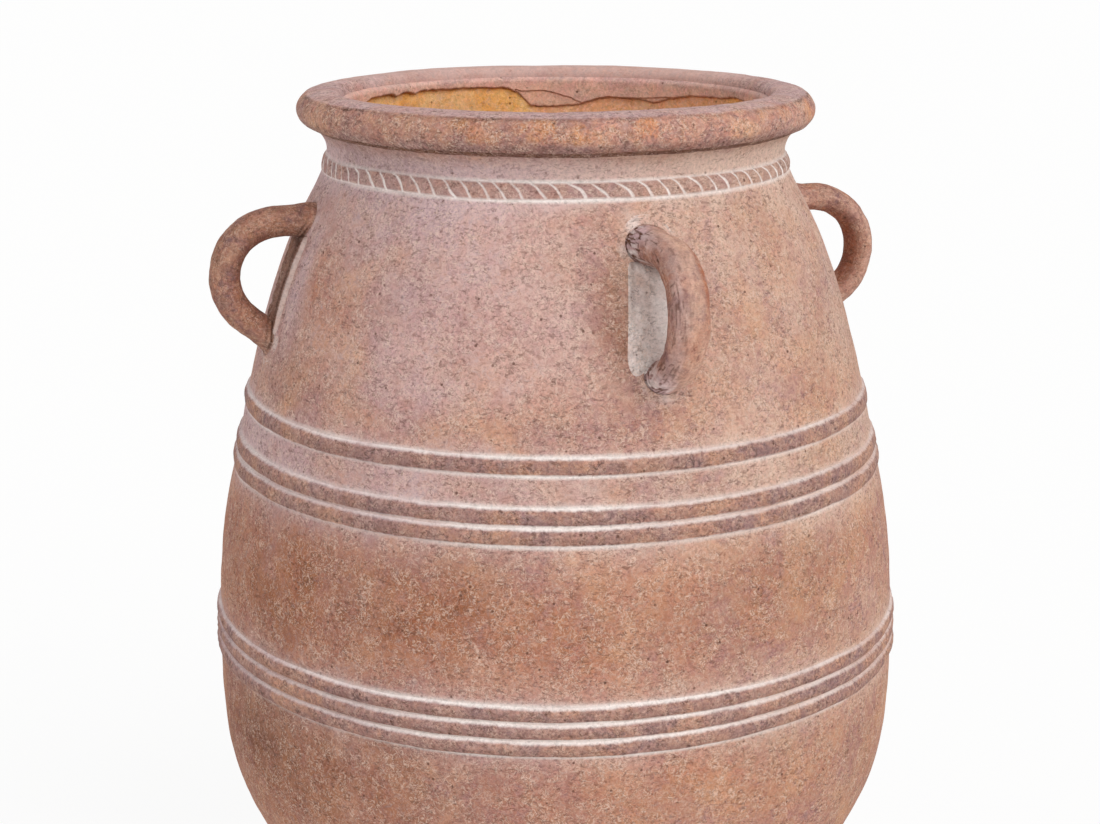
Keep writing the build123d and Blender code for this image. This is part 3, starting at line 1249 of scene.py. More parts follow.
@dataclass(frozen=True)
class Rim(Part):
    """The rolled rim that overhangs the neck.

    Attributes:
        low: height of its seam on the outside.
        low_inside: height of its seam on the inside.
        lip_end: height inside at which the rolled face ends and the bore starts.
        edge_row: where the face turns into the top, as a distance past the highest point.
        line_row: where a dark line runs over the far side's top, counted in the same way.
        warm_azimuth: direction in which the face is warmest.
        bruise_azimuth: direction of a rubbed, orange patch of the face.
        shade_azimuth: direction in which the face is painted darkest, as painted shade.
        step: distance between rows.
        columns: how many points go round.
    """

    slot: ClassVar[Slot] = Slot.RIM
    low: float = 966.0
    low_inside: float = 949.4
    lip_end: float = 985.0
    edge_row: float = -13.5
    line_row: float = -4.5
    warm_azimuth: float = 310.0
    bruise_azimuth: float = 256.5
    shade_azimuth: float = 200.0
    step: float = 1.5
    columns: int = 1200

    def sheets(self, form: JarForm) -> list[Sheet]:
        """Its rolled face, its bore and the seam under it.

        Args:
            form: the jar's form.

        Returns:
            The three sheets that close round the rim.
        """
        top = form.lengths[form.crown]
        start, end = form.outside(self.low), form.inside(self.low_inside)
        lip = form.inside(self.lip_end)
        roll = form.turned(start, lip, self.step, self.columns, Clay.RIM)
        roll.paint = self._wear(form, roll.points, np.linspace(start, lip, len(roll.points)) - top)
        bore = form.turned(lip, end, 2.0, self.columns, Clay.INSIDE)
        bore.paint = inside_paint(bore.points)
        return [roll, bore, joined(bore.points[-1], roll.points[0], Clay.RIM)]

    def _wear(self, form: JarForm, points: Points, past_crown: Field) -> Paint:
        """Dusty on top, red with ochre chips on the face and darker toward its shaded side, mauve and
        darkened underneath: both darkenings are painted shade.

        Args:
            form: the jar's form.
            points: the rolled face.
            past_crown: how far each row lies past the highest point, in mm.

        Returns:
            The strengths of what lies there.
        """
        row = past_crown[:, None]
        flat = smooth_step(-14.5, -9, row)
        under = 1 - smooth_step(-44, -33, row)
        face = (1 - flat) * (1 - under)
        wisp = Grain(24, 41, 3).at(points)
        chip = np.clip(Grain(30, 42, 3).at(points) - 0.1, 0, 1)
        corner = np.exp(-(((row - self.edge_row + 1.2 * Grain(14, 43, 2).at(points)) / 2.0) ** 2))
        line = np.exp(-(((row - self.line_row + 1.5 * Grain(18, 44, 2).at(points)) / 0.9) ** 2))
        azimuth = azimuth_of(points)
        warm_side = smooth_step(-1, 1, np.cos(np.radians(azimuth - self.warm_azimuth)))
        shade_side = smooth_step(0.3, 1.0, np.cos(np.radians(azimuth - self.shade_azimuth)))
        bruise = np.exp(-((angle_apart(azimuth, self.bruise_azimuth) / 3.4) ** 2))
        far = smooth_step(0.1, 0.8, np.cos(np.radians(azimuth - form.far_azimuth)))
        chipped = 0.10 * wisp + (0.1 + 1.1 * warm_side) * chip + bruise * (0.35 + 1.4 * chip + wisp)
        return {
            "haze": (0.60 + 0.25 * far) * flat + 0.04 * face + 0.30 * under + 0.2 * wisp,
            "lilac": (0.95 + 0.05 * under) * (1 - 0.45 * far),
            "ember": 0.06 * far + face * chipped,
            # The underside and the face's shaded side are darkened as painted shade.
            "soot_and_shade": 0.02 + 0.06 * flat + 0.5 * corner * (0.6 + 0.5 * wisp) + 0.40 * under
            + face * (0.10 * wisp + 0.22 * shade_side) + 0.5 * far * line,
            "smooth": 0.9 * far * flat * smooth_step(-13, -9, row),
        }


@dataclass(frozen=True)
class Lining(Part):
    """The smooth lining wiped inside the mouth, with a torn lower edge.

    Attributes:
        radius: the mouth's clear radius.
        top: height of the lining's upper edge.
        edge_round: radius of that edge.
        torn_depths: how deep the lining reaches below the rim's top at azimuths in degrees.
        coat_depths: how deep its upper coat reaches on the far side, where it ends in a step.
        ragged: how far the torn edge wanders between them, in mm.
        deepest: how deep the torn edge may reach at most.
        coat: how far the upper coat stands off the lower one.
        brim: height from which the lining is dusty, like the rim's top, and darkened where light reaches.
        columns: how many points go round.
    """

    slot: ClassVar[Slot] = Slot.LINING
    radius: float = 205.0
    top: float = 990.0
    edge_round: float = 5.0
    torn_depths: tuple[tuple[float, float], ...] = (
        (7, 22.6), (14, 25.8), (21, 26.8), (27, 27.0), (31, 29.5), (36, 34.5), (41, 38.8),
        (45, 35.2), (57, 35.7), (63, 42.6), (70, 45.0), (78, 44.8), (80, 38.3), (82, 30.6),
        (85, 24.0), (88, 22.9), (104, 20.9), (113, 20.0), (117, 23.6), (120, 20.4), (124, 24.5),
        (127, 20.2), (137, 22.0), (146, 30.0), (156, 40.0), (172, 33.0), (190, 38.0), (212, 30.0),
        (232, 43.0), (255, 35.0), (280, 42.0), (305, 31.0), (330, 40.0), (351, 30.0),
    )
    coat_depths: tuple[tuple[float, float], ...] = (
        (30, 29.0), (45, 33.5), (55, 33.0), (63, 40.0), (69, 32.1), (74, 27.3), (81, 26.4), (83, 24.0),
    )
    ragged: float = 0.6
    deepest: float = 45.6
    coat: float = 1.6
    brim: float = 977.0
    columns: int = 1440

    def sheets(self, form: JarForm) -> list[Sheet]:
        """One sheet over the lip, down the front, round the torn edge and up the back.

        Args:
            form: the jar's form.

        Returns:
            The one sheet.
        """
        azimuth = np.linspace(0, FULL_TURN, self.columns, endpoint=False)
        turn = np.radians(azimuth)
        foot = self._foot(form, azimuth)
        radius, height = self._section(form, foot)
        plain = np.stack([radius * np.cos(turn), radius * np.sin(turn), height], axis=-1)
        shown = (radius < form.bore_radius - 1).astype(float)
        directions, depths = zip(*self.coat_depths)
        coat = form.rim_top.height - np.interp(azimuth, directions, depths, left=60, right=60)
        thin = shown * smooth_step(0.7, -0.7, height - coat - 0.8 * Grain(9, 56, 2).at(plain))
        swell = shown * (0.7 * Grain(70, 53).at(plain) + 0.4 * Grain(18, 54, 2).at(plain) - 0.3)
        swell -= self.coat * thin
        radius = radius - swell
        height = height - form.sag(turn, height)
        points = np.stack([radius * np.cos(turn), radius * np.sin(turn), height], axis=-1)
        return [Sheet(points, Clay.LINING, self._wear(points, foot, thin))]

    def _foot(self, form: JarForm, azimuth: Field) -> Field:
        """Draws the torn lower edge.

        Args:
            form: the jar's form.
            azimuth: azimuths in degrees.

        Returns:
            Its height at each azimuth.
        """
        directions, depths = zip(*self.torn_depths)
        depth = np.interp(azimuth, directions, depths, period=FULL_TURN)
        guide = spun(np.array([self.radius]), np.array([0.0]), np.radians(azimuth))[0]
        depth += self.ragged * (Grain(11, 51, 2).at(guide) + 0.5 * Grain(3.5, 52).at(guide))
        return form.rim_top.height - np.minimum(depth, self.deepest)

    def _section(self, form: JarForm, foot: Field) -> tuple[Field, Field]:
        """Lays rows over the lip, down the front, round the torn edge and up the back.

        Args:
            form: the jar's form.
            foot: height of the torn edge in each column.

        Returns:
            Radius and height in rows by columns.
        """
        level = 0 * foot
        lip = np.linspace(0, math.pi / 2, 8)[:, None]
        front = np.linspace(0, 1, 48)[1:, None]
        # How far each row of the torn edge lies behind the front and over the foot.
        edge = np.array([(0.4, 1.5), (1.2, 0.6), (2.6, 0.0), (4.4, 0.2)])
        back = np.linspace(0, 1, 5)[1:, None]
        low = self.top - self.edge_round
        radius = [
            self.radius + self.edge_round * (1 - np.sin(lip)) + level,
            self.radius + 0 * front + level,
            self.radius + edge[:, :1] + level,
            form.bore_radius - 0.2 + 0 * back + level,
        ]
        height = [
            low + self.edge_round * np.cos(lip) + level,
            low + (foot + 2.5 - low) * front,
            foot + edge[:, 1:],
            foot + 1 + (self.top - 0.5 - foot - 1) * back,
        ]
        return np.concatenate(radius), np.concatenate(height)

    def _wear(self, points: Points, foot: Field, thin: Field) -> Paint:
        """Dusty at the brim and darkened there, which tones down the painted light of its colours where
        light reaches; warm and dirty at the torn edge, warm where the upper coat is gone.

        Args:
            points: the lining's points.
            foot: height of the torn edge in each column.
            thin: where only the lower coat lies, from 0 to 1.

        Returns:
            The strengths of what lies there.
        """
        height = points[..., 2]
        wisp = Grain(22, 55, 3).at(points)
        torn = np.exp(-np.clip(height - foot, 0, None) / 2.2)
        brim = smooth_step(self.brim, self.brim + 11, height)
        return {
            "haze": 0.30 + 0.2 * wisp + 0.3 * brim,
            "lilac": 0.4 + 0.4 * brim,
            "ember": 0.05 + 0.2 * wisp + 0.3 * torn + 0.35 * thin,
            "soot_and_shade": 0.06 + 0.15 * torn + 0.14 * wisp + 0.1 * brim,
        }


# Ribs and rope


@dataclass(frozen=True)
class Rib(Part):
    """A round strip of clay pressed on the wall.

    Attributes:
        height: height of its middle.
        width: how wide it is, up and down.
        proud: how far it stands off the wall.
        columns: how many points go round.
        rows: how many points go over it.
    """

    slot: ClassVar[Slot] = Slot.RIB
    clay: ClassVar[Clay] = Clay.RIB
    height: float
    width: float
    proud: float
    columns: int = 1600
    rows: int = 19

    def sheets(self, form: JarForm) -> list[Sheet]:
        """Its round face and the bed that it lies on.

        Args:
            form: the jar's form.

        Returns:
            The two sheets that close round the strip.
        """
        across = np.linspace(-1, 1, self.rows)[:, None]
        azimuth = np.linspace(0, FULL_TURN, self.columns, endpoint=False)[None]
        ring = form.wall_surface(azimuth, np.full(azimuth.shape, self.height))
        middle = self.height + 0.7 * Grain(120, 61).at(ring) + 0.25 * Grain(34, 62).at(ring)
        half = self.width / 2 * (1 + 0.05 * Grain(42, 63).at(ring))
        height = middle + across * half
        place = form.wall_surface(azimuth + 0 * height, height)
        lift = self.proud * self.crest(across, azimuth, place)
        lift += 0.28 * (1 - across**2) * (Grain(6, 64, 2).at(place) + 0.8 * Grain(15, 65).at(place))
        lift = np.clip(lift, -0.05, self.proud + 0.4)
        face = Sheet(form.wall_surface(azimuth + 0 * height, height, lift), self.clay)
        face.paint = self.wear(across, azimuth, face.points)
        return [face, Sheet(face.points[[-1, 0]], self.clay)]

    def crest(self, across: Field, azimuth: Field, place: Points) -> Field:
        """How high the strip stands, as a share of its full height.

        Args:
            across: from -1 at its lower edge to 1 at its upper edge.
            azimuth: azimuths of its points.
            place: points of the wall under it.

        Returns:
            The share at each point.
        """
        return (1 - across**2) ** 0.6 * (0.88 + 0.08 * Grain(30, 66).at(place)) + 0 * azimuth

    def wear(self, across: Field, azimuth: Field, points: Points) -> Paint:
        """Lime along both edges, the upper one partly a painted highlight; dark grit and painted shade
        on the crest; orange where it is rubbed.

        Args:
            across: from -1 at its lower edge to 1 at its upper edge.
            azimuth: azimuths of its points.
            points: points of its face.

        Returns:
            The strengths of what lies there.
        """
        wisp = Grain(20, 67, 3).at(points)
        fleck = Grain(5, 68, 2).at(points)
        cloud = Grain(75, 69, 2).at(points)
        # The wash turns cooler away from the light, as painted shade.
        cool = shade_coolness(azimuth)
        # The upper line is lime, and in part a painted highlight on the upward slope.
        upper = smooth_step(0.46, 0.92, across + 0.06 * fleck)
        lower = smooth_step(-0.78, -0.96, across + 0.03 * fleck)
        crest = (1 - upper) * (1 - lower)
        # The crest is darkened by grit, and toward its lower edge and on the cool side by painted shade.
        shade = 0.08 + 0.18 * smooth_step(0.5, -0.5, across) + 0.14 * wisp + 0.08 * fleck + 0.10 * cloud
        return {
            "haze": 0.75 * upper + 0.45 * lower + 0.12 * wisp + 0.12 * crest * (1 + cloud),
            "lilac": 0.3 + 0.7 * cool + 0 * across,
            "lime": (0.08 + line_lime(points)) * (upper**2 + 0.9 * lower),
            "ember": crest * (0.02 + 0.40 * np.clip(wisp + 0.5 * cloud - 0.1, 0, 1)),
            "soot_and_shade": crest * shade * (0.6 + 0.4 * cool),
            "smooth": 0.9 * np.maximum(upper, lower),
        }


@dataclass(frozen=True)
class RopeBand(Rib):
    """A strip marked like a twisted rope.

    Attributes:
        strands: how many strands go round.
        slant: how far a groove leans over half of the strip's width, in strands.
    """

    clay: ClassVar[Clay] = Clay.WALL
    strands: int = 80
    slant: float = 0.32
    columns: int = 3200

    def twist(self, across: Field, azimuth: Field, place: Points) -> Field:
        """Height of the strands.

        Args:
            across: from -1 at the band's lower edge to 1 at its upper edge.
            azimuth: azimuths of the points.
            place: points on or near the band.

        Returns:
            1 on a strand's back and 0 in the groove between two.
        """
        wander = 0.22 * Grain(52, 71).at(place) + 0.12 * Grain(17, 72, 2).at(place)
        lean = self.slant * (across + 0.25 * across**3) - 0.14 * (1 - across**2)
        phase = azimuth / FULL_TURN * self.strands + lean + wander
        return np.abs(np.sin(math.pi * phase)) ** 0.45

    def crest(self, across: Field, azimuth: Field, place: Points) -> Field:
        """How high the rope stands, strand by strand."""
        strand = self.twist(across, azimuth, place)
        return (1 - across**2) ** 0.5 * (0.42 + 0.55 * strand) * (0.92 + 0.06 * Grain(30, 73).at(place))

    def wear(self, across: Field, azimuth: Field, points: Points) -> Paint:
        """Lime in every groove and along both edges, clay on the strands' backs.

        Args:
            across: from -1 at the band's lower edge to 1 at its upper edge.
            azimuth: azimuths of its points.
            points: points of its face.

        Returns:
            The strengths of what lies there.
        """
        wisp = Grain(20, 74, 3).at(points)
        groove = smooth_step(0.62, 0.44, self.twist(across, azimuth, points))
        edge = smooth_step(0.80, 0.98, np.abs(across))
        pale = np.maximum(groove * (0.9 + 0.3 * wisp), edge)
        return {
            "haze": 0.50 + 0.4 * pale + 0.2 * wisp,
            # The wash turns cooler away from the light, as painted shade.
            "lilac": 0.3 + 0.7 * shade_coolness(azimuth) + 0 * across,
            "lime": 0.90 * pale,
            "soot_and_shade": (1 - pale) * (0.24 + 0.12 * wisp),
            "smooth": 0.9 * pale,
        }


# Handles


class Course(NamedTuple):
    """A handle's middle line, in the plane that it stands in.

    Attributes:
        travel: distance along the line to each of its points.
        frame: radius, height and the in-plane normal's two parts at each of its points.
        roots: distances along the line near which it passes through the wall's face.
    """

    travel: Field
    frame: Points
    roots: tuple[float, float]

    def at(self, along: Field) -> tuple[Field, ...]:
        """Radius, height and the normal's two parts at distances along the line."""
        return tuple(np.interp(along, self.travel, column) for column in self.frame.T)


@dataclass(frozen=True)
class Handle(Part):
    """A loop handle: level out of the shoulder, round a bow and back in below.

    Attributes:
        side: the side that it stands on.
        top: height of its middle line where it leaves the wall.
        reach: length of the level run from the wall to the bow.
        bow_radius: radius of the bow's middle line.
        bow_angle: how far the bow turns, in degrees.
        tail: length of the straight end that runs from the bow into the wall.
        width: of the section, across the handle.
        thickness: of the section, in the plane of the bow.
        dusting: how much pale wash lies on its outer face.
        dirt_and_shade: how much darker it is all over, from dirt and painted shade.
        skew: how far the hand-set bow leans to one side, most of all a little above its middle.
        lines: how dark the finger lines are on its left flank, and how much darker and cooler that
            flank is painted, as painted shade.
        glow: how much iron shows along its right edge.
        warmth: how much iron shows all over.
        flank_highlight: how pale its flanks are painted, a painted highlight.
        bury: how far inside the wall the middle line starts.
        root_end: how far before its end the middle line meets the wall again.
        flare: how much the section widens at the wall.
        flare_reach: how far along the handle it widens.
        smear: how far the clay is smeared over the wall round each root.
        furrow: distance between the finger furrows in the smear.
        rows: how many sections follow the bow.
        columns: how many points go round a section.
    """

    slot: ClassVar[Slot] = Slot.HANDLE
    side: Side
    dusting: float = 0.1
    dirt_and_shade: float = 0.0
    skew: float = 0.0
    lines: float = 0.3
    glow: float = 0.1
    warmth: float = 0.0
    flank_highlight: float = 0.0
    top: float = 882.0
    reach: float = 29.5
    bow_radius: float = 55.6
    bow_angle: float = 185.0
    tail: float = 12.0
    width: float = 38.5
    thickness: float = 32.0
    bury: float = 14.0
    root_end: float = 12.0
    flare: float = 0.16
    flare_reach: float = 11.0
    smear: float = 11.0
    furrow: float = 3.8
    rows: int = 150
    columns: int = 96

    def sheets(self, form: JarForm) -> list[Sheet]:
        """The handle's skin between the clay that is smeared over the wall round its roots.

        Args:
            form: the jar's form.

        Returns:
            The smear round the upper root, the skin and the smear round the lower root.
        """
        course = self._course(form)
        turn = np.linspace(0, math.tau, self.columns, endpoint=False)[None]
        dense = np.linspace(0, course.travel[-1], 420)[:, None] + 0 * turn
        clear = self._clearance(form, self._tube(course, dense, turn))
        first = self._crossing(dense, clear)
        last = self._crossing(dense[::-1], clear[::-1])
        along = first + (last - first) * np.linspace(0, 1, self.rows)[:, None]
        tube = self._tube(course, along, turn)
        off = np.clip(self._clearance(form, tube), 0, None)
        skin = self._placed(tube)
        out = self._placed(self._outward(course, along, turn))
        bumps = 0.38 * Grain(21, 81).at(skin) + 0.28 * Grain(8, 82, 2).at(skin) - 0.62
        bumps = bumps * smooth_step(0, 8, off) - self._creases(off, skin)
        skin = skin + out * bumps[..., None]
        upper, lower = self._smeared(form, skin[0]), self._smeared(form, skin[-1])[::-1]
        points = np.concatenate([upper, skin, lower])
        normals = grid_normals(points, closed=True)
        start, end = len(upper), len(upper) + len(skin)
        # Two stretches share the row where they meet, which leaves no gap between their clays.
        spans = (Clay.WALL, 0, start + 1), (Clay.HANDLE, start, end), (Clay.WALL, end - 1, len(points))
        pieces = [Sheet(points[a:b], clay, normals=normals[a:b]) for clay, a, b in spans]
        pieces[1].paint = self._wear(pieces[1].points, turn, off)
        for smear in pieces[::2]:
            paint = WallWash().at(smear.points)
            paint["haze"] = paint["haze"] + 0.15
            paint["lime"] = paint["lime"] + 0.5 * np.clip(Grain(12, 97, 2).at(smear.points), 0, 1)
            paint["soot_and_shade"] = paint["soot_and_shade"] + 0.2 * np.clip(Grain(9, 88, 2).at(smear.points), 0, 1)
            smear.paint = paint
        return pieces

    @staticmethod
    def _creases(off: Field, place: Points) -> Field:
        """How deep the creases are that were pressed round the handle beside the wall.

        Args:
            off: how far the points stand off the wall.
            place: points of the handle.

        Returns:
            Depths in mm.
        """
        shift = off + 1.2 * Grain(15, 86).at(place)
        bitten = np.clip(0.5 + Grain(22, 87).at(place), 0, 1)
        first = np.exp(-(((shift - 2.6) / 1.1) ** 2))
        return bitten * (1.1 * first + 0.8 * np.exp(-(((shift - 7.5) / 1.2) ** 2)))

    def _course(self, form: JarForm) -> Course:
        """Lays out the middle line: level from inside the wall, round the bow and straight back.

        Args:
            form: the jar's form.

        Returns:
            The line, with its directions.
        """
        wall = float(form.wall_radius(np.array(self.top)))
        centre = np.array((wall + self.reach, self.top - self.bow_radius))
        run = np.linspace(wall - self.bury, wall + self.reach, 40, endpoint=False)
        turn = np.radians(90 - np.linspace(0, self.bow_angle, 240))
        bow = centre + self.bow_radius * np.c_[np.cos(turn), np.sin(turn)]
        over = math.radians(self.bow_angle - 180)
        inward = np.linspace(0, self.tail, 12)[1:, None] * (-math.cos(over), math.sin(over))
        path = np.concatenate([np.c_[run, np.full(len(run), self.top)], bow, bow[-1] + inward])
        travel = np.concatenate([[0], np.cumsum(np.linalg.norm(np.diff(path, axis=0), axis=1))])
        tangent = np.gradient(path, axis=0)
        tangent /= np.linalg.norm(tangent, axis=1, keepdims=True)
        frame = np.c_[path, -tangent[:, 1], tangent[:, 0]]
        return Course(travel, frame, (self.bury, travel[-1] - self.root_end))

    @staticmethod
    def _outward(course: Course, along: Field, turn: Field) -> Points:
        """Finds the direction from the middle line to the skin.

        Args:
            course: the middle line.
            along: distances along it.
            turn: angles round the section, a quarter turn being the outer face.

        Returns:
            Directions in the handle's own axes: out, across and up.
        """
        _, _, normal_r, normal_z = course.at(along)
        rise = np.sin(turn)
        return np.stack([normal_r * rise, np.cos(turn) + 0 * along, normal_z * rise], axis=-1)

    def _tube(self, course: Course, along: Field, turn: Field) -> Points:
        """Finds points of the plain skin.

        Args:
            course: the middle line.
            along: distances along it.
            turn: angles round the section, a quarter turn being the outer face.

        Returns:
            Points in the handle's own axes: out, across and up.
        """
        radius, height, normal_r, normal_z = course.at(along)
        near = np.minimum(*(np.abs(along - root) for root in course.roots))
        swell = 1 + self.flare * np.exp(-((near / self.flare_reach) ** 2))
        deep = self.thickness / 2 * swell * np.sin(turn)
        lean = self.skew * np.sin(math.pi * (along / course.travel[-1]) ** 0.8) ** 2
        wide = self.width / 2 * swell * np.cos(turn) + lean
        return np.stack([radius + normal_r * deep, wide, height + normal_z * deep], axis=-1)

    @staticmethod
    def _clearance(form: JarForm, points: Points) -> Field:
        """How far points of the handle stand clear of the plain wall, level."""
        return np.hypot(points[..., 0], points[..., 1]) - form.wall_radius(points[..., 2])

    @staticmethod
    def _crossing(along: Field, clear: Field) -> Field:
        """Finds where each line of the skin first comes out of the wall.

        Args:
            along: distances along the middle line, with a column per line of the skin.
            clear: how far the skin stands clear of the wall there.

        Returns:
            The distance for each line.
        """
        index = np.maximum(np.argmax(clear > 0, axis=0), 1)
        columns = np.arange(clear.shape[1])
        before, after = clear[index - 1, columns], clear[index, columns]
        share = np.clip(-before / np.maximum(after - before, 1e-6), 0, 1)
        start, end = along[index - 1, columns], along[index, columns]
        return start + (end - start) * share

    def _placed(self, points: Points) -> Points:
        """Turns points from the handle's own axes to the jar's.

        Args:
            points: points out, across and up.

        Returns:
            The points along x, y and z.
        """
        cos, sin = math.cos(math.radians(self.side.value)), math.sin(math.radians(self.side.value))
        out, across, up = points[..., 0], points[..., 1], points[..., 2]
        return np.stack([out * cos - across * sin, out * sin + across * cos, up], axis=-1)

    def _smeared(self, form: JarForm, ring: Points) -> Points:
        """Rows of clay smeared on the wall round a root, from its edge to the root.

        Args:
            form: the jar's form.
            ring: the closed line where the handle meets the wall.

        Returns:
            Rows of points whose last lies just inside the ring.
        """
        azimuth, height = azimuth_of(ring), ring[:, 2]
        scale = np.radians(form.wall_radius(height).mean())
        side = angle_apart(azimuth, self.side.value) * scale
        flat = np.c_[side, height]
        spokes = flat - flat.mean(axis=0)
        spokes /= np.linalg.norm(spokes, axis=1, keepdims=True)
        distance = np.linspace(self.smear, 0.2, 18)[:, None]
        flat = flat[None] + spokes[None] * distance[..., None]
        azimuth, height = self.side.value + flat[..., 0] / scale, flat[..., 1]
        place = form.wall_surface(azimuth, height)
        fade = 1 - smooth_step(self.smear - 8, self.smear, distance)
        furrow = 0.5 - 0.5 * np.cos(math.tau * distance / self.furrow + 1.2 * Grain(16, 83).at(place))
        lift = 1.7 * np.exp(-distance / 2.8) + 0.55 * furrow * np.clip(0.4 + Grain(25, 90).at(place), 0, 1)
        lift = (lift + 0.25 * Grain(7, 84, 2).at(place)) * fade - 0.06
        return form.wall_surface(azimuth, height, lift)

    def _wear(self, points: Points, turn: Field, off: Field) -> Paint:
        """Wash on the outer face, iron at its right edge, finger lines at its left, dirty creases, painted
        shade on its left flank and inner face, and a painted highlight along its flanks.

        Args:
            points: the tube's points.
            turn: angle round the section, a quarter turn being the outer face.
            off: how far the points stand off the wall.

        Returns:
            The strengths of what lies there.
        """
        wisp = Grain(18, 85, 3).at(points)
        rows = np.arange(len(points))[:, None] + 0 * turn
        drawn = np.stack([4.5 * turn + 0 * rows, 0.10 * rows, 0 * rows + self.side.value], axis=-1)
        streak = Grain(1.0, 89, 2).at(drawn)
        outer = smooth_step(0.0, 0.8, np.sin(turn))
        # With the finger lines, the left flank is painted darker and cooler as painted shade.
        left, right = smooth_step(-0.1, 0.8, -np.cos(turn)), smooth_step(0.35, 0.75, np.cos(turn))
        # The inner face, toward the wall, is painted darker and warmer as painted shade.
        inner = smooth_step(0.1, -0.7, np.sin(turn))
        share = rows / len(points)
        glow = self.glow * right * np.exp(-(((share - 0.42) / 0.20) ** 2))
        rust = self.glow * outer * np.exp(-(((share - 0.70) / 0.10) ** 2)) * np.clip(0.5 + wisp, 0, 1)
        root = np.exp(-off / 5)
        rubbed = np.exp(-((off / 26) ** 2)) * smooth_step(0.5, -0.6, np.cos(turn) + 0.3 * wisp)
        rubbed = rubbed * smooth_step(0.1, 0.5, self.dusting)
        drawn_line = smooth_step(0.22, 0.04, np.abs(streak))
        crease = self._creases(off, points)
        return {
            # The last haze term is a painted highlight along both flanks.
            "haze": (self.dusting * outer + 0.30 * root + 0.14 * wisp + 0.16 * streak + 0.8 * rubbed)
            * (1 - 1.1 * glow) * (1 - 0.6 * rust) * (1 - 0.5 * inner)
            + self.flank_highlight * smooth_step(0.45, 1.0, np.abs(np.cos(turn))),
            "lilac": 1.2 * rubbed + 0.6 * self.lines * (left + root),
            "lime": 0.9 * rubbed * np.clip(streak + 0.3 * wisp, 0, 1),
            "ember": self.warmth + 0.8 * glow + 0.45 * rust + 0.2 * inner + 0.2 * np.clip(wisp, 0, 1)
            + 0.16 * streak - 0.2 * (root + self.lines * left),
            "soot_and_shade": self.dirt_and_shade + 0.05 + 0.16 * inner + 0.14 * self.lines * left + 0.14 * wisp + 0.6 * crease
            + drawn_line * (0.12 + 0.40 * self.lines * left + 0.5 * rubbed),
            "smooth": smooth_step(0.0, 0.5, self.dusting + 0 * off) * 0.6,
        }


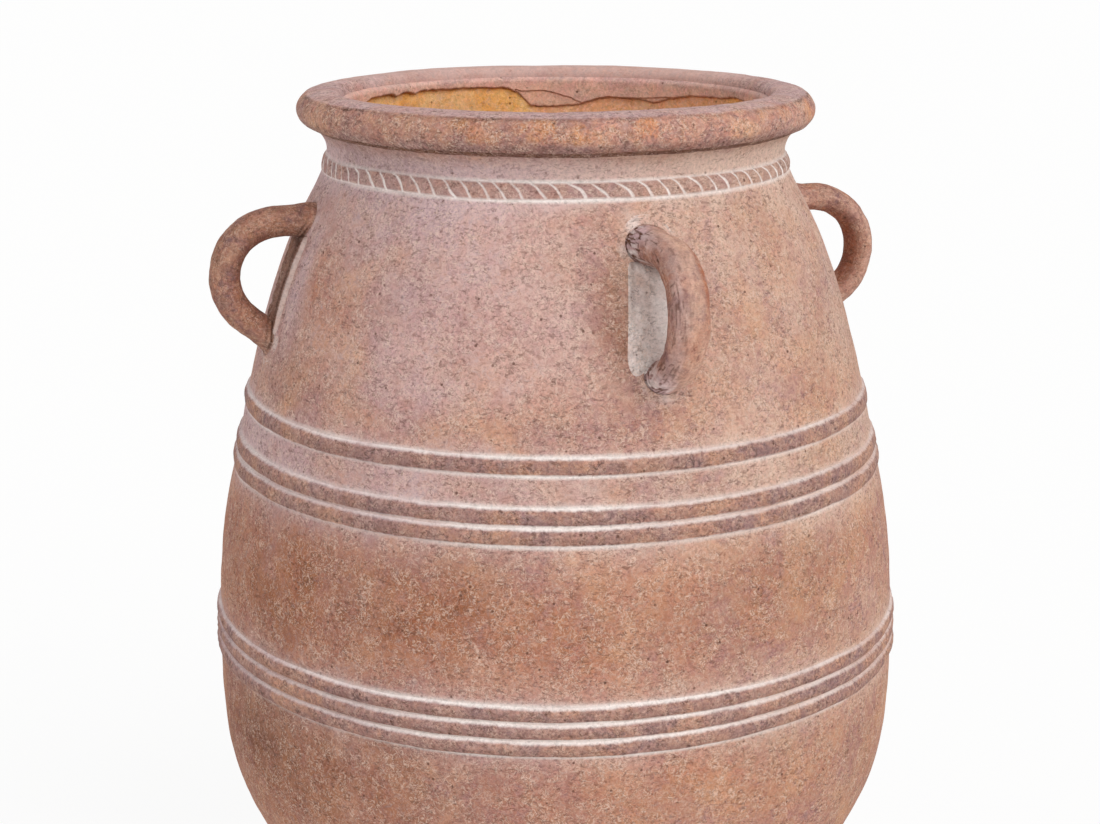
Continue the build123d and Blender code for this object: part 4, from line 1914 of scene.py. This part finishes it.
@dataclass(frozen=True)
class HandleStrip(Part):
    """The flat strip of clay on the wall between a handle's roots.

    Attributes:
        side: the handle's side.
        dirt_and_shade: how much darker its face is, as painted shade, most of all along a gouge.
        spread: how far its left edge slides outward toward the lower end, over the rounded corner.
        low: height of its lower end.
        high: height of its upper end.
        width: how wide it is.
        thickness: how far it stands off the wall.
        comb: how fast its right half's combing goes up and down, in radians per mm.
        rows: how many points go up it.
        columns: how many points go across it.
    """

    slot: ClassVar[Slot] = Slot.HANDLE
    side: Side
    dirt_and_shade: float = 0.0
    spread: float = 0.0
    low: float = 772.0
    high: float = 870.0
    width: float = 43.0
    thickness: float = 4.5
    comb: float = 2.1
    rows: int = 84
    columns: int = 64

    def sheets(self, form: JarForm) -> list[Sheet]:
        """Its face, which rounds down to the wall, and the bed under it.

        Args:
            form: the jar's form.

        Returns:
            The two sheets that close round the strip.
        """
        up = np.linspace(-1, 1, self.rows)[:, None]
        across = np.linspace(-1, 1, self.columns)[None]
        middle, half = (self.high + self.low) / 2, (self.high - self.low) / 2
        height = middle + half * up + 0 * across
        # Where the left edge spreads, its lower corner is rounded over the strip's lowest fifth.
        corner = 1 - np.sqrt(1 - np.clip((-0.6 - up) / 0.4, 0, 1) ** 2)
        slide = self.spread * ((1 - up) / 2 - 0.9 * corner) * (1 - across) / 2
        azimuth = self.side.value + np.degrees((across * self.width / 2 - slide) / form.wall_radius(height))
        place = form.wall_surface(azimuth, height)
        wander = 0.05 * Grain(14, 91, 2).at(place)
        edge = smooth_step(0, 0.16, 1 - np.abs(across) + wander)
        edge = edge * smooth_step(0, 0.10, 1 - np.abs(up) + wander)
        edge[[0, -1]] = edge[:, [0, -1]] = 0
        rough = smooth_step(0.15, -0.25, across)
        combed = 0.25 * np.sin(height * self.comb + 2 * Grain(20, 92).at(place))
        grain = rough * 0.9 * Grain(6, 93, 2).at(place) + (1 - rough) * combed
        # The face stays 0.9 mm under the strip's thickness, which leaves room for its grain.
        lift = (self.thickness - 0.9 + np.clip(grain, -1.5, 0.8)) * edge - 0.05
        points = form.wall_surface(azimuth, height, lift)
        bed = form.wall_surface(azimuth[:, ::-1], height, -0.05)
        return [
            Sheet(points, Clay.WALL, self._wear(across, up, rough, points), closed=False),
            Sheet(bed, Clay.WALL, closed=False),
        ]

    def _wear(self, across: Field, up: Field, rough: Field, points: Points) -> Paint:
        """Chalky all over, the chalk partly painted light, with a line of painted shade for a groove at
        the upper left, painted shade at the top, and on side strips over the face and along a gouge.

        Args:
            across: from -1 at its left edge to 1 at its right edge.
            up: from -1 at its lower end to 1 at its upper end.
            rough: from 1 on its rough left part to 0 on its combed right part.
            points: points of its face.

        Returns:
            The strengths of what lies there.
        """
        wisp = Grain(14, 94, 3).at(points)
        # A line of painted shade where a groove would be.
        groove = np.exp(-(((across + 0.86) / 0.10) ** 2)) * smooth_step(-0.4, 0.5, up)
        gouge = np.exp(-(((across - 0.45 + 0.1 * wisp) / 0.28) ** 2))
        dirt_and_shade = self.dirt_and_shade * (1 - 0.5 * smooth_step(0.68, 0.86, across + 0.1 * wisp))
        # Painted shade at the top, under the upper root.
        shade_under_root = smooth_step(0.55, 0.90, up - 0.25 * np.abs(across - 0.2))
        return {
            # Wash and lime are laid on thickly, in part as painted light where the handle shades the strip.
            "haze": (0.66 * rough + 0.84 * (1 - rough) + 0.2 * wisp) * (1 - dirt_and_shade),
            "lilac": np.array(0.6),
            "lime": (0.64 * rough + 0.80 * (1 - rough) + 0.2 * wisp) * (1 - dirt_and_shade),
            "soot_and_shade": 0.04 * rough + 0.45 * groove + 0.5 * shade_under_root + 0.05 * wisp + dirt_and_shade * (0.4 + 0.5 * gouge),
            "smooth": 0.7 * (1 - rough),
        }


# Studio


@dataclass(frozen=True)
class Studio:
    """A pale floor, soft light from the front right, and the camera, in metres.

    Attributes:
        turn: the camera's azimuth in degrees, from straight in front of the jar.
        distance: level distance from the jar's axis to the camera.
        height: the camera's height.
        pitch: how far it looks down, in degrees.
        lens: focal length in mm.
        shift: sideways shift that puts the jar's axis where the photograph has it.
        sight: how far the camera sees.
        lamps: how far right of the camera each lamp stands and how high, in degrees, its
            strength in W/m2 and its width as seen from the jar, in degrees.
        sky: the world's strength.
        floor_radius: of the floor.
        floor_white: share of the floor's look that is plain white to the camera.
    """

    turn: float = -19.2
    distance: float = 2.144
    height: float = 1.2245
    pitch: float = 14.555
    lens: float = 70.94
    shift: float = -0.0051
    sight: float = 200.0
    lamps: tuple[tuple[float, float, float, float], ...] = (
        (42.0, 40.0, 1.53, 40.0),
        (-50.0, 22.0, 0.40, 50.0),
    )
    sky: float = 0.55
    floor_radius: float = 30.0
    floor_white: float = 0.9

    def build(self) -> None:
        """Puts up the camera, the light, the world and the floor."""
        self._camera()
        self._light()
        self._world()
        self._floor()

    def _toward(self, turn: float, height: float) -> Vector:
        """Finds the direction from the jar toward something that stands round it.

        Args:
            turn: its azimuth in degrees, from straight in front of the jar.
            height: how high it stands, in degrees.

        Returns:
            A unit vector.
        """
        turn, height = math.radians(turn), math.radians(height)
        level = math.cos(height)
        return Vector((math.sin(turn) * level, -math.cos(turn) * level, math.sin(height)))

    def _camera(self) -> None:
        """The camera at the photograph's viewing angle."""
        lens = bpy.data.cameras.new("camera")
        lens.lens = self.lens
        lens.shift_x = self.shift
        lens.clip_end = self.sight
        camera = bpy.data.objects.new("camera", lens)
        stand = self._toward(self.turn, 0) * self.distance
        camera.location = (stand.x, stand.y, self.height)
        back = self._toward(self.turn, self.pitch)
        camera.rotation_euler = back.to_track_quat("Z", "Y").to_euler()
        bpy.context.scene.collection.objects.link(camera)
        bpy.context.scene.camera = camera

    def _light(self) -> None:
        """Wide soft lamps: the key from the front right, a weak one from the left."""
        for number, (turn, height, strength, width) in enumerate(self.lamps):
            light = bpy.data.lights.new(f"lamp_{number}", "SUN")
            light.energy = strength
            light.angle = math.radians(width)
            lamp = bpy.data.objects.new(f"lamp_{number}", light)
            toward = self._toward(self.turn + turn, height)
            lamp.rotation_euler = toward.to_track_quat("Z", "Y").to_euler()
            bpy.context.scene.collection.objects.link(lamp)

    def _seen(self, tree: Tree) -> Socket:
        """Tells the rays that show the background itself from those that only bring its light.

        Args:
            tree: the node tree.

        Returns:
            1 for camera, glossy and transmitted rays, and 0 for the others.
        """
        path = add_node(tree, "LightPath", {}, ()).outputs
        seen = path["Is Camera Ray"]
        for ray in (path["Is Glossy Ray"], path["Is Transmission Ray"]):
            seen = add_node(tree, "Math", {"operation": "MAXIMUM"}, (seen, ray)).outputs["Value"]
        return seen

    def _world(self) -> None:
        """An even white sky, plain white where it is seen."""
        world = bpy.data.worlds.new("studio")
        world.use_nodes = True
        tree = world.node_tree
        tree.nodes.clear()
        strength = add_node(tree, "MapRange", {}, {"Value": self._seen(tree), "To Min": self.sky})
        sky = add_node(tree, "Background", {}, {"Color": WHITE, "Strength": strength})
        add_node(tree, "OutputWorld", {}, {"Surface": sky})
        bpy.context.scene.world = world

    def _floor(self) -> None:
        """A plain pale floor that keeps the jar's shadow."""
        paint = bpy.data.materials.new("matt_white_studio_floor")
        paint.use_nodes = True
        tree = paint.node_tree
        tree.nodes.clear()
        matt = add_node(tree, "BsdfDiffuse", {}, {"Color": "#FBFAF8"})
        white = add_node(tree, "Emission", {}, {"Color": WHITE, "Strength": 1.0})
        shares = (self._seen(tree), self.floor_white)
        share = add_node(tree, "Math", {"operation": "MULTIPLY"}, shares)
        mixed = add_node(tree, "MixShader", {}, (share, matt, white))
        add_node(tree, "OutputMaterial", {}, {"Surface": mixed})
        turn = np.linspace(0, math.tau, 64, endpoint=False)
        edge = np.c_[np.cos(turn), np.sin(turn), 0 * turn] * self.floor_radius
        mesh = bpy.data.meshes.new("floor")
        mesh.from_pydata(edge.tolist(), [], [list(range(len(edge)))])
        mesh.materials.append(paint)
        floor = bpy.data.objects.new("floor", mesh)
        bpy.context.scene.collection.objects.link(floor)


# The whole jar


def jar_parts() -> list[Part]:
    """Every piece of the jar, with how each handle was set, how it is worn and dirty, and how much
    light and shade is painted on it.

    Returns:
        The 23 pieces: wall, rim and lining, then ribs and rope, then each handle with its strip.
    """
    return [
        BaseDisc("base_disc"),
        WallRing("foot_ring", 28.0, 245.0, 28.0, 233.2),
        WallRing("lower_body_ring", 245.0, 462.5, 233.2, 453.6),
        WallRing("belly_ring", 462.5, 654.0, 453.6, 645.8),
        WallRing("shoulder_ring", 654.0, 929.5, 645.8, 922.6),
        NeckRing("neck_ring", 929.5, 966.0, 922.6, 949.4),
        Rim("rim"),
        Lining("mouth_lining"),
        Rib("lower_rib_1", 478.8, 15.3, 4.3),
        Rib("lower_rib_2", 462.5, 15.3, 4.3),
        Rib("lower_rib_3", 446.2, 15.3, 4.3),
        Rib("upper_rib_1", 654.0, 16.3, 3.6),
        Rib("upper_rib_2", 636.7, 16.3, 3.6),
        Rib("shoulder_rib", 697.6, 17.0, 3.6),
        RopeBand("rope_band", 929.5, 15.5, 3.5),
        Handle(
            "handle_right", Side.RIGHT, dusting=0.16, warmth=0.38, flank_highlight=0.34, top=875.0, reach=28.0,
            bow_radius=55.0, thickness=28.5,
        ),
        HandleStrip("handle_strip_right", Side.RIGHT, dirt_and_shade=0.5),
        Handle("handle_back", Side.BACK, dusting=0.15, dirt_and_shade=0.12, skew=-2.0),
        HandleStrip("handle_strip_back", Side.BACK, dirt_and_shade=0.3),
        Handle(
            "handle_left", Side.LEFT, dusting=0.12, dirt_and_shade=0.27, warmth=0.14, flank_highlight=0.18, top=880.0,
            reach=31.0, bow_radius=52.0, bow_angle=140.0, tail=52.0, thickness=30.5, flare=0.12,
        ),
        HandleStrip("handle_strip_left", Side.LEFT, dirt_and_shade=0.95),
        Handle("handle_front", Side.FRONT, dusting=0.55, skew=6.0, lines=1.0, glow=0.8),
        HandleStrip("handle_strip_front", Side.FRONT, spread=13.0),
    ]


def main() -> None:
    """Builds the jar piece by piece, then the studio round it."""
    logging.basicConfig(level=logging.INFO, format="%(message)s")
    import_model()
    form = JarForm()
    for part in jar_parts():
        part.build(form)
    Studio().build()
    bpy.context.scene.view_settings.view_transform = "Standard"


if __name__ == "__main__":
    main()
